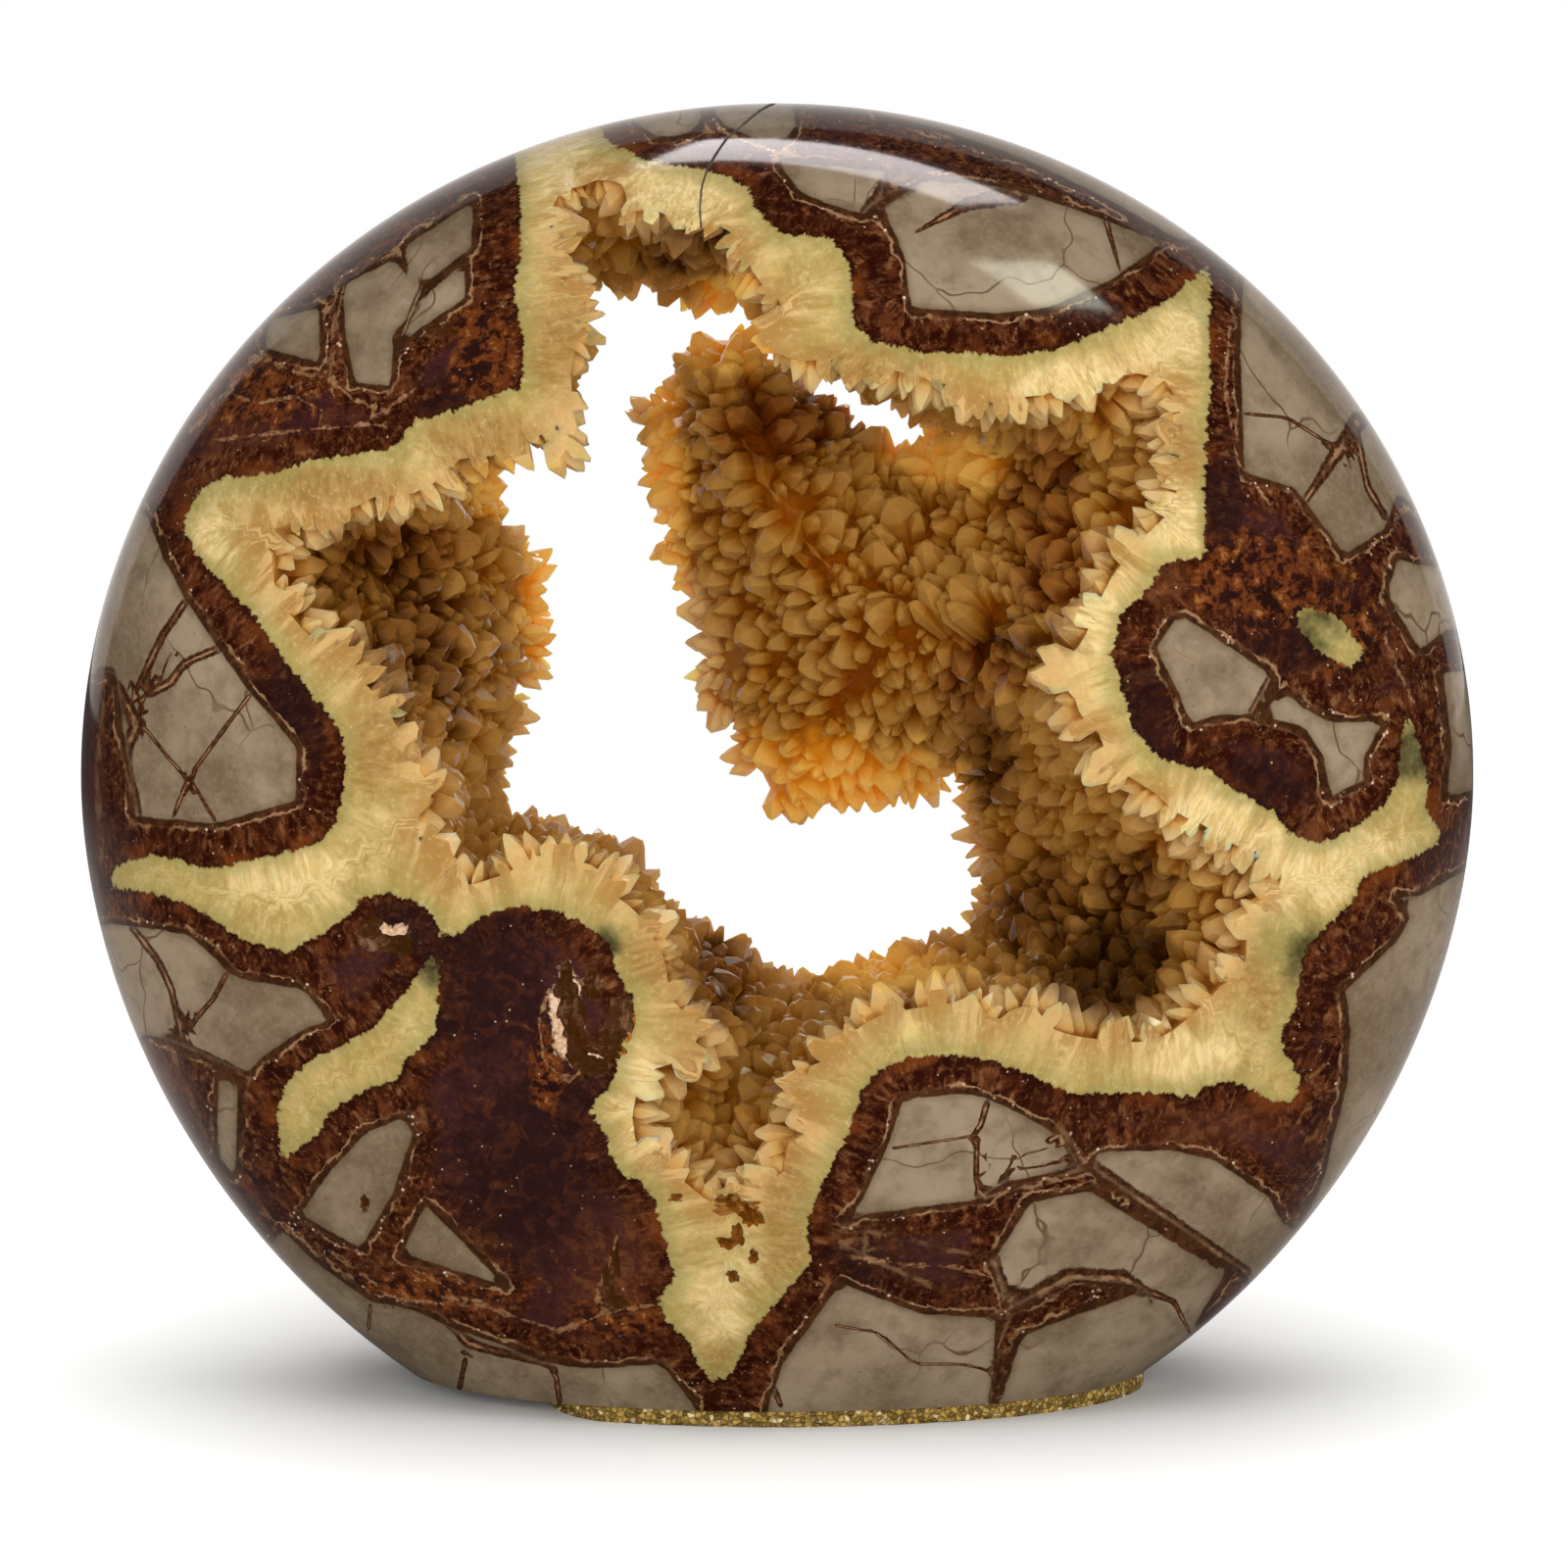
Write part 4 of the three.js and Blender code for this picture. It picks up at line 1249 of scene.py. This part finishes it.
def column_brown(make, given, seen):
    """Brown columns that stand on the calcite, and purple brown away from it."""
    place, patch, granule, dark = seen.place, seen.patch, seen.granule, given["Dark Brown"]
    brown = make.blend(dark, given["Red Brown"], seen.column, 0.38, 0.6)
    brown = make.blend(brown, given["Rust"], seen.thin_column, 0.52, 0.7, 0.0, 0.55)
    blotch = make.noise(place, 0.24, 5.0, 0.7, 0.6)
    brown = make.blend(brown, dark, blotch, 0.44, 0.58, 0.0, 0.8)
    brown = make.blend(brown, given["Warm Brown"], blotch, 0.3, 0.44, 0.6, 0.0)
    mottled = make.blend(given["Purple Brown"], given["Red Brown"], patch, 0.44, 0.66)
    mottled = make.blend(mottled, given["Rust"], patch, 0.62, 0.74, 0.0, 0.7)
    mottled = make.blend(mottled, given["Purple Brown"], blotch, 0.36, 0.62, 0.95, 0.1)
    from_edge = make.sum("MINIMUM", seen.to_calcite, seen.to_block)
    brown = make.blend(brown, mottled, from_edge, 2.4, 4.2)
    dark_width = make.band(seen.column, 0.3, 0.7, 0.4, 1.4)
    brown = make.blend(brown, dark, seen.to_calcite, 0.0, dark_width, 0.85, 0.0)
    rusty = make.times(make.band(make.noise(place, 0.13, 3.0), 0.52, 0.62),
                       make.band(seen.to_calcite, 0.2, 2.2, 0.8, 0.0))
    brown = make.mix(rusty, brown, make.mix(seen.thin_column, given["Deep Rust"], given["Bright Rust"]))
    grains = make.times(make.band(granule, 0.52, 0.66, 0.0, 0.5), make.band(from_edge, 2.4, 4.2, 1.0, 0.35))
    brown = make.mix(grains, brown, given["Granule"])
    return make.blend(brown, dark, granule, 0.34, 0.46, 0.6, 0.0)


def patched_brown(make, given, seen, brown):
    """Ruddy, burnt and crumbled patches, pale chips and flecks over the brown."""
    place, patch = seen.place, seen.patch
    ruddy = make.shift(make.stored("ruddy"), seen.ragged, 2.0)
    ruddy_colour = make.blend(given["Ruddy Shade"], given["Ruddy"], patch, 0.4, 0.6)
    brown = make.blend(brown, ruddy_colour, ruddy, -0.1, 0.7, 0.0, 0.6)
    burnt = make.shift(make.stored("burnt"), seen.ragged, 2.0)
    burnt_colour = make.blend(given["Burnt Shade"], given["Burnt"], patch, 0.5, 0.62)
    brown = make.blend(brown, burnt_colour, burnt, -0.2, 0.7, 0.0, 0.85)
    lump = make.noise(place, 0.62, 5.0, 0.66, 0.25)
    lumps = make.blend(given["Lump Shade"], given["Lump"], lump, 0.45, 0.54)
    lumps = make.blend(lumps, given["Lump Crest"], lump, 0.57, 0.66)
    crumbled = make.shift(make.stored("crumbled"), make.centred(patch), 2.0)
    brown = make.blend(brown, lumps, crumbled, 0.0, 0.45, 0.0, 0.8)
    chip = make.shift(make.stored("chip"), make.centred(patch), 1.6)
    chipped = make.blend(given["Chip Shade"], given["Chip"], seen.fine, -0.2, 0.2)
    brown = make.blend(brown, chipped, chip, 0.05, 0.3)
    flecks = make.times(make.band(make.cells(place, 0.9), 0.06, 0.14, 1.0, 0.0),
                        make.band(make.noise(place, 0.25, 2.0), 0.5, 0.62))
    return make.mix(make.times(flecks, 0.7), brown, given["Speck"])


def tan_lines(make, given, seen, brown):
    """The tan line in the brown beside each block, its dark halo, its specks and the loose threads."""
    place, patch, fine = seen.place, seen.patch, seen.fine
    line_wander = make.times(make.centred(make.noise(place, 0.4, 4.0)), 1.9)
    from_line = make.sum("ABSOLUTE", make.sum("SUBTRACT", make.sum("ADD", seen.to_block, line_wander), 0.8))
    halo = make.blend(given["Halo"], given["Pale Halo"], patch, 0.4, 0.65)
    brown = make.blend(brown, halo, seen.to_block, 0.35, 0.95, 0.9, 0.0)
    line = make.band(from_line, 0.03, make.band(seen.thin_column, 0.4, 0.6, 0.12, 0.3), 1.0, 0.0)
    line = make.times(line, make.band(make.noise(place, 0.3, 4.0), 0.44, 0.58, 0.1, 0.95))
    brown = make.mix(make.times(line, 0.85), brown, given["Tan Line"])
    speck = make.times(make.band(make.cells(place, 1.3), 0.14, 0.3, 1.0, 0.0),
                       make.band(from_line, 0.12, 0.5, 1.0, 0.0))
    speck = make.times(speck, make.band(make.noise(place, 0.5, 1.0), 0.52, 0.6))
    brown = make.mix(speck, brown, given["Speck"])
    thread = make.shift(make.shift(make.to_line("thread"), seen.ragged, 9.0), fine, 4.0)
    thread = make.times(make.band(thread, 0.6, 1.3, 0.85, 0.0), make.band(seen.granule, 0.4, 0.54, 0.2, 1.0))
    return make.mix(thread, brown, make.blend(given["Thread"], given["Tan Line"], patch, 0.5, 0.62))


def veined_rock(make, given, seen, rock):
    """Brown veins, tan along their middles, that are strongest where they cross a block."""
    vein = make.shift(make.shift(make.to_line("vein"), seen.ragged, 0.9), seen.fine, 0.5)
    brown = make.blend(given["Vein Shade"], given["Vein"], seen.thin_column, 0.4, 0.65)
    brown = make.blend(brown, given["Halo"], vein, 0.55, 0.95, 0.0, 0.6)
    centre = make.times(make.band(vein, 0.14, 0.4, 0.85, 0.0),
                        make.band(make.noise(seen.place, 0.35, 3.0), 0.44, 0.6, 0.1, 1.0))
    colour = make.mix(centre, brown, given["Tan Line"])
    in_block = make.band(seen.to_block, -0.6, 0.4, 1.0, 0.35)
    return make.mix(make.times(make.band(vein, 0.85, 1.2, 1.0, 0.0), in_block), rock, colour)


def calcite_colour(make, given, seen, deep):
    """Yellow fibrous calcite: honey near the crystals, cloudy and dusky in patches, green here and there."""
    fibre, near_crystals = seen.fibre, make.stored("in_wall")
    broad = make.noise(seen.grain, 0.42, 3.0, 0.6)
    puff = make.noise(seen.place, 0.2, 4.0, 0.6)
    sugar = make.noise(seen.place, 1.6, 4.0, 0.7)
    yellow = make.blend(given["Yellow Calcite"], given["Pale Calcite"], broad, 0.36, 0.64)
    yellow = make.blend(yellow, given["Pale Fibre"], fibre, 0.48, 0.7, 0.0, 0.6)
    yellow = make.blend(yellow, given["Dark Fibre"], fibre, 0.32, 0.5, 0.4, 0.0)
    yellow = make.blend(yellow, given["Shaded Puff"], puff, 0.34, 0.66, 0.6, 0.0)
    yellow = make.blend(yellow, given["Light Puff"], puff, 0.56, 0.72, 0.0, 0.6)
    honey = make.blend(given["Honey Calcite"], given["Cream Calcite"], broad, 0.4, 0.58)
    yellow = make.blend(yellow, honey, near_crystals, 0.8, 5.5, 0.85, 0.0)
    tone = make.shift(make.times(seen.ragged, 0.8), make.centred(broad), 1.6)
    cloudy = make.blend(given["Cloudy Shade"], given["Cloudy Calcite"], fibre, 0.4, 0.6)
    yellow = make.blend(yellow, cloudy, make.sum("ADD", make.stored("pale"), tone), -0.1, 0.6, 0.0, 0.8)
    dusky = make.blend(given["Dusky Shade"], given["Dusky Calcite"], fibre, 0.4, 0.6)
    yellow = make.blend(yellow, dusky, make.sum("ADD", make.stored("dusky"), tone), -0.1, 0.6, 0.0, 0.75)
    seam = make.times(make.band(make.sum("ABSOLUTE", make.centred(broad)), 0.0, 0.03, 1.0, 0.0),
                      make.band(near_crystals, 0.6, 4.2, 0.55, 0.0))
    yellow = make.mix(seam, yellow, given["Column Seam"])
    green = make.band(deep, 0.0, make.band(puff, 0.35, 0.68, 1.0, 4.0), 0.75, 0.0)
    yellow = make.mix(make.sum("MAXIMUM", green, make.stored("green")), yellow, given["Green Calcite"])
    yellow = make.blend(yellow, given["Sugar"], sugar, 0.54, 0.7, 0.0, 0.32)
    yellow = make.blend(yellow, given["Sugar Shade"], sugar, 0.34, 0.46, 0.16, 0.0)
    by_edge = make.shift(make.times(seen.ragged, 0.8), make.band(deep, 0.0, 3.0, 1.0, 0.0), 0.9)
    dusk = make.times(make.band(make.stored("green"), 0.0, 0.6), by_edge)
    yellow = make.mix(dusk, yellow, make.blend(given["Green Dark"], given["Green Dusk"], puff, 0.3, 0.7))
    return make.blend(yellow, given["Calcite Edge"], deep, 0.0, 0.3, 0.35, 0.0)


def stone_pattern():
    """The colours of a septarian stone: mudstone blocks, tan line, brown columns, and banded calcite."""
    tree = bpy.data.node_groups.new("stone_pattern", "ShaderNodeTree")
    socket_list(tree, colour_inputs(MUDSTONE_COLOURS, BROWN_COLOURS, CALCITE_COLOURS), PATTERN_OUTPUTS)
    make = Paint(tree)
    given, result = make.add("NodeGroupInput").outputs, make.add("NodeGroupOutput")
    seen = stone_noises(make)
    brown = patched_brown(make, given, seen, column_brown(make, given, seen))
    brown = tan_lines(make, given, seen, brown)
    rock = make.blend(mudstone_colour(make, given, seen), brown, seen.to_block, -0.12, 0.1)
    rock = veined_rock(make, given, seen, rock)
    deep = make.times(seen.to_calcite, -1.0)
    colour = make.blend(calcite_colour(make, given, seen, deep), rock, seen.to_calcite, -0.12, 0.08)
    fissure = make.shift(make.to_line("fissure"), seen.ragged, 1.8)
    colour = make.blend(colour, given["Fissure"], fissure, 0.7, 1.5, 0.92, 0.0)
    polish = make.band(seen.grit, 0.3, 0.8, 0.07, 0.13)
    roughness = make.sum("ADD", polish, make.band(fissure, 0.7, 1.5, 0.6, 0.0))
    height = make.times(seen.fibre, make.band(deep, 0.0, 1.0))
    make.fill(result, Color=colour, Roughness=roughness, Height=height)
    return tree


def crystal_pattern():
    """The colours of crystals: cream by the faces, deeper orange further in, and paler at their tips, partly
    their own tone and partly painted shade and highlight; with patches of painted glow and painted shade, and
    an emitted painted glow.
    """
    tree = bpy.data.node_groups.new("crystal_pattern", "ShaderNodeTree")
    socket_list(tree, colour_inputs(CRYSTAL_COLOURS) + [("Inner Light", "Float", 0.06)],
                PATTERN_OUTPUTS + (("Glow", "Color"),))
    make = Paint(tree)
    given, result = make.add("NodeGroupInput").outputs, make.add("NodeGroupOutput")
    place = make.place()
    fine = make.noise(place, 1.3, 4.0, 0.65)
    wander = make.times(make.centred(make.noise(place, 0.12, 3.0, 0.6)), 1.6)
    # Further under the faces the crystals turn darker and more orange, partly their own tone and partly
    # painted shade.
    inward = make.band(make.shift(make.stored("sunk"), wander, 3.0), 1.0, 8.0)
    tip, middle, down = (make.mix(inward, given["Face " + name], given[name])
                         for name in ("Tip", "Middle", "Deep"))
    # Darker down in the hollows between crystals, lighter on their tips: painted shade and highlight, partly
    # the deeper tone of thicker calcite.
    level = make.shift(make.stored("in_wall"), make.stored("hollow"), 3.2)
    level = make.shift(level, make.centred(fine), 0.8)
    colour = make.blend(tip, middle, level, -1.4, 0.9)
    colour = make.blend(colour, down, level, 0.6, 2.3)
    colour = make.blend(colour, tip, make.noise(place, 0.5, 4.0, 0.7), 0.5, 0.72, 0.0, 0.35)

    def patch(name, high, share):
        return make.band(make.sum("ADD", make.stored(name), wander), 0.0, high, 0.0, share)

    amber, ember, smoky = patch("amber", 0.45, 1.0), patch("ember", 0.5, 0.9), patch("smoky", 0.6, 0.88)
    # Painted glow: lighter orange crystals where light would shine through them from behind.
    colour = make.mix(make.times(amber, 0.85), colour,
                      make.blend(given["Amber Tip"], given["Amber"], level, -1.2, 1.6))
    # Orange painted shade, where the rim shades the crystals and light comes through from behind.
    colour = make.mix(ember, colour, make.blend(given["Ember Tip"], given["Ember"], level, -1.4, 0.6))
    # Painted shade in the deep pockets, where the crystals get little light.
    colour = make.mix(smoky, colour, make.blend(given["Smoke Tip"], given["Smoke"], level, -1.4, 0.8))
    # Crystals under a burnt patch are darkened nearly black.
    colour = make.mix(patch("burnt", 0.6, 0.65), colour, given["Burnt"])
    # A painted glow that the crystals emit: faint all over, stronger in the painted glow patches, none in the
    # painted shade.
    bright = make.band(make.stored("amber"), 0.35, 0.9, 0.0, 0.1)
    light = make.shift(make.sum("ADD", bright, given["Inner Light"]), amber, 0.13)
    unshaded = make.sum("SUBTRACT", 1.0, make.sum("MAXIMUM", smoky, ember))
    glow = make.scaled(make.mix(0.6, colour, given["Glow"]), make.times(light, unshaded))
    make.fill(result, Color=colour, Roughness=make.band(fine, 0.3, 0.7, 0.1, 0.34), Height=fine, Glow=glow)
    return tree


def principled(name, **uniform):
    """A material with one Principled shader, and its node tree to add to."""
    material = bpy.data.materials.new(name)
    material.use_nodes = True
    make = Paint(material.node_tree)
    shader = material.node_tree.nodes["Principled BSDF"]
    make.fill(shader, **uniform)
    return material, make, shader


def patterned(name, pattern, relief, palette=None, **uniform):
    """A material whose colour, roughness and relief, in millimetres, come from a pattern group."""
    material, make, shader = principled(name, **uniform)
    group = make.add("ShaderNodeGroup", node_tree=pattern)
    for part, shade in (palette or {}).items():
        make.put(group.inputs[part], srgb(*shade))
    bump = make.fill(make.add("ShaderNodeBump"), Height=group.outputs["Height"],
                     Distance=relief * MM, Strength=1.0)
    make.fill(shader, Base_Color=group.outputs["Color"], Roughness=group.outputs["Roughness"],
              Normal=bump.outputs[0])
    if "Glow" in group.outputs:
        make.fill(shader, Emission_Color=group.outputs["Glow"], Emission_Strength=1.0)
    return material


POLISH_SHINE = 0.18
CRYSTAL_SHINE = 0.42


def stone_paints():
    """The stone's four surfaces. Light goes some way into calcite, and further into its crystals."""
    stone, crystal = stone_pattern(), crystal_pattern()
    mudstone = patterned("polished_mudstone", stone, 0.0, Specular_IOR_Level=POLISH_SHINE)
    calcite = patterned(
        "polished_calcite", stone, 0.03, Specular_IOR_Level=POLISH_SHINE,
        Subsurface_Weight=1.0, Subsurface_Radius=(1.0, 0.55, 0.25), Subsurface_Scale=2.0 * MM)
    # The crystals also emit a painted glow from their pattern.
    crystals = patterned(
        "calcite_crystals", crystal, 0.05, Specular_IOR_Level=CRYSTAL_SHINE,
        Subsurface_Weight=0.55, Subsurface_Radius=(1.0, 0.48, 0.12), Subsurface_Scale=5.0 * MM)
    broken = patterned("broken_stone", crystal, 0.3, BROKEN_COLOURS)
    return [mudstone, calcite, crystals, broken]


# ---------------------------------------------------------------- the cork pad
PAD_INSET = 0.4
PAD_LEFT_END = -24.5
PAD_CORNER = 7.0
PAD_RAGGED = 0.35          # how far granules have come off its edge
PAD_LEVELS = (0.0, 0.12, 0.5, 0.95, 1.35, PAD_HIGH.z / MM + 0.29)     # the last is just under the flat spot
PAD_EDGE_POINTS = 420
PAD_SEED = 5
PAD_ROUNDING = 0.15        # its top and bottom edges are drawn in this much


def flat_spot_half(across):
    """Half the flat spot's depth at a distance across from the middle."""
    return float(face_depth(min(1.0, float(outline_share(np.float64(across), np.float64(-BASE_DROP))))))


def pad_outline():
    """The edge of the flat spot, less a little, with a straight cut and round corners on the left."""
    right = HALF_WIDTH
    while flat_spot_half(right) <= PAD_INSET:
        right -= 0.05
    half = []
    for across in right + (PAD_LEFT_END - right) * np.sin(np.linspace(0, math.pi / 2, 120)) ** 2:
        deep = flat_spot_half(across) - PAD_INSET
        past = PAD_LEFT_END + PAD_CORNER - across
        if past > 0:
            deep -= PAD_CORNER - math.sqrt(max(PAD_CORNER ** 2 - past ** 2, 0))
        half.append((across, max(deep, 0)))
    return half + [(across, -deep) for across, deep in reversed(half[1:])]


def cork_pad(paint):
    """The pad's ragged edge is drawn in here and there where granules are missing."""
    outline = np.array(pad_outline())
    closed = np.vstack([outline, outline[:1]])
    length = np.concatenate([[0], np.cumsum(np.linalg.norm(np.diff(closed, axis=0), axis=1))])
    along = np.linspace(0, length[-1], PAD_EDGE_POINTS, endpoint=False)
    edge = np.stack([np.interp(along, length, closed[:, axis]) for axis in (0, 1)], 1)
    step = np.roll(edge, -1, 0) - np.roll(edge, 1, 0)
    inward = np.stack([-step[:, 1], step[:, 0]], 1) / np.linalg.norm(step, axis=1)[:, None]
    draw = np.random.default_rng(PAD_SEED)
    places = []
    for level in PAD_LEVELS:
        lump = np.convolve(draw.random(len(edge) + 4), np.ones(5) / 5, "valid")
        rounding = PAD_ROUNDING if level in (PAD_LEVELS[0], PAD_LEVELS[-1]) else 0
        bite = PAD_RAGGED * np.clip(3.2 * (lump - 0.42), 0, 1) + rounding
        places += [(x, y, level) for x, y in edge + inward * bite[:, None]]
    count, last = len(edge), len(PAD_LEVELS) - 1
    faces = [tuple(reversed(range(count))), tuple(range(last * count, (last + 1) * count))]
    for number in range(last):
        for index in range(count):
            a, b = number * count + index, number * count + (index + 1) % count
            faces.append((a, b, b + count, a + count))
    pad = mesh_object("cork_base_pad", places, faces, MM)
    with edited(pad.data) as shape:
        bmesh.ops.recalc_face_normals(shape, faces=shape.faces[:])
        split_faces(shape, 4)
    pad.data.materials.append(paint)
    return pad


CORK_CELLS = 1.7           # granules to a millimetre


def cork_paint():
    """Pressed cork: granules of uneven tone with dark gaps between them."""
    tree = bpy.data.node_groups.new("cork_granules", "ShaderNodeTree")
    socket_list(tree, colour_inputs(CORK_COLOURS), PATTERN_OUTPUTS)
    make = Paint(tree)
    given, result = make.add("NodeGroupInput").outputs, make.add("NodeGroupOutput")
    place = make.place()
    tone = make.parts(make.cells(place, CORK_CELLS, "F1", "Color"))
    colour = make.blend(given["Dark Granule"], given["Granule"], tone[0], 0.2, 0.8)
    colour = make.blend(colour, given["Pale Granule"], tone[1], 0.86, 0.92)
    gap = make.cells(place, CORK_CELLS, "DISTANCE_TO_EDGE")
    colour = make.blend(colour, given["Gap"], gap, 0.0, 0.09, 0.7, 0.0)
    make.fill(result, Color=colour, Roughness=make.band(tone[2], 0.0, 1.0, 0.8, 0.97),
              Height=make.band(gap, 0.0, 0.22))
    return patterned("cork", tree, 0.18)


# ---------------------------------------------------------------- floor, lights and camera
FLOOR_HALF = 2.0
FLOOR_FADE = (0.12, 0.6)   # metres from the middle, where the floor starts to fade and where it is gone


def pale_floor():
    """A pale floor that fades out to the pale room, and sends little of its light back up at the stone."""
    corners = [(x * FLOOR_HALF, y * FLOOR_HALF, 0) for x, y in ((-1, -1), (1, -1), (1, 1), (-1, 1))]
    floor = mesh_object("floor", corners, [(0, 1, 2, 3)])
    material, make, shader = principled("pale_floor", Roughness=0.9, Specular_IOR_Level=0.1)
    place = make.add("ShaderNodeTexCoord").outputs["Object"]
    far = make.add("ShaderNodeVectorMath", operation="LENGTH")
    make.put(far.inputs[0], place)
    pale = make.mix(make.noise(place, 3.0, 3.0), srgb(240, 240, 239), srgb(244, 244, 243))
    ray = make.add("ShaderNodeLightPath").outputs
    mirrored = make.blend(srgb(84, 82, 80), srgb(178, 172, 168), make.parts(place)["Y"], -0.03, 0.04)
    bounce = make.mix(ray["Is Glossy Ray"], srgb(125, 123, 120), mirrored)
    make.fill(shader, Base_Color=make.mix(ray["Is Camera Ray"], bounce, pale),
              Alpha=make.band(far.outputs["Value"], *FLOOR_FADE, 1.0, 0.0))
    floor.data.materials.append(material)
    return floor


def soft_light(name, place, aim, width, depth, power, colour=(1, 1, 1), seen=False):
    """A rectangular light in metres, turned towards a point."""
    data = bpy.data.lights.new(name, "AREA")
    data.shape, data.size, data.size_y, data.energy, data.color = "RECTANGLE", width, depth, power, colour
    light = bpy.data.objects.new(name, data)
    light.location = place
    light.rotation_euler = (Vector(aim) - Vector(place)).to_track_quat("-Z", "Y").to_euler()
    light.visible_camera = seen
    bpy.context.scene.collection.objects.link(light)
    return light


def shine_only_on(light, pieces):
    """Keeps a light off everything else."""
    lit = bpy.data.collections.new(light.name + "_lights")
    for piece in pieces:
        lit.objects.link(piece)
    light.light_linking.receiver_collection = lit


LIGHT_BOUNCES = (3, 2, 1)   # in all, off matt and off shiny surfaces: more of them don't show


def studio(floor, pieces):
    """Soft light all round the stone; some of it only shines on it, and some is only mirrored in it."""
    middle = (0, 0, MIDDLE_HEIGHT * MM)
    behind = soft_light("behind", (0.0, 0.45, 0.16), middle, 0.6, 0.45, 1.7)
    behind.visible_glossy = False
    shine_only_on(behind, pieces)
    wash = soft_light("floor_wash", (0, 0, 1.2), (0, 0, 0), 1.6, 1.6, 25)
    shine_only_on(wash, [floor])
    overhead = soft_light("overhead", (0.07, 0.1, 0.75), (0.05, 0.06, 0), 0.42, 0.17, 4.4, (1.0, 0.94, 0.94))
    overhead.visible_diffuse = False
    fill = soft_light("front_fill", (0.1, -1.1, 0.2), middle, 1.0, 0.8, 11.5)
    fill.visible_glossy = False
    for side in (-1, 1):
        fill = soft_light("side_fill", (side * 0.9, -0.5, 0.3), middle, 0.6, 0.6, 2.2)
        fill.visible_glossy = False
    gleam = soft_light("gleam", (0.36, -0.29, 0.72), middle, 0.18, 0.12, 1.2, (0.95, 1.0, 0.82))
    gleam.visible_diffuse = False
    backdrop = soft_light("backdrop", (0, 1.5, 1.2), (0, 0, 1.2), 4.0, 2.4, 25, (1.0, 0.93, 0.88))
    backdrop.visible_diffuse = False
    world = bpy.data.worlds.new("studio")
    bpy.context.scene.world = world
    world.use_nodes = True
    make = Paint(world.node_tree)
    ray = make.add("ShaderNodeLightPath").outputs
    strength = make.sum("MULTIPLY_ADD", ray["Is Camera Ray"], 0.84, 0.16)
    strength = make.sum("MULTIPLY_ADD", ray["Is Glossy Ray"], -0.08, strength)
    make.fill(world.node_tree.nodes["Background"], Color=(1, 1, 1, 1), Strength=strength)
    scene = bpy.context.scene
    scene.view_settings.view_transform = "Standard"
    scene.cycles.max_bounces, scene.cycles.diffuse_bounces, scene.cycles.glossy_bounces = LIGHT_BOUNCES


def camera():
    data = bpy.data.cameras.new("camera")
    data.sensor_width, data.lens = SENSOR_WIDTH, FOCAL_PIXELS / VIEW_FRAME * SENSOR_WIDTH
    data.shift_x = (VIEW_FRAME / 2 - VIEW_MIDDLE[0]) / VIEW_FRAME
    data.shift_y = (VIEW_MIDDLE[1] - VIEW_FRAME / 2) / VIEW_FRAME
    data.clip_start = 0.05
    eye = bpy.data.objects.new("camera", data)
    eye.location = Vector(EYE) * MM + Vector((0, 0, MIDDLE_HEIGHT * MM))
    eye.rotation_euler = Vector(FORWARD).to_track_quat("-Z", "Y").to_euler()
    bpy.context.scene.collection.objects.link(eye)
    bpy.context.scene.camera = eye


# ---------------------------------------------------------------- the object
camera()
floor = pale_floor()
paints = stone_paints()
nodule = grown_stone(paints[CRYSTAL_SLOT])
thin_out(nodule)
finish_faces(nodule, paints)
nodule.data.transform(Matrix.Translation((0, 0, MIDDLE_HEIGHT * MM)) @ Matrix.Scale(MM, 4))
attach(nodule, "root")
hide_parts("nodule")
pad = cork_pad(cork_paint())
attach(pad, "root")
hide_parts("base_pad")
studio(floor, [nodule, pad])
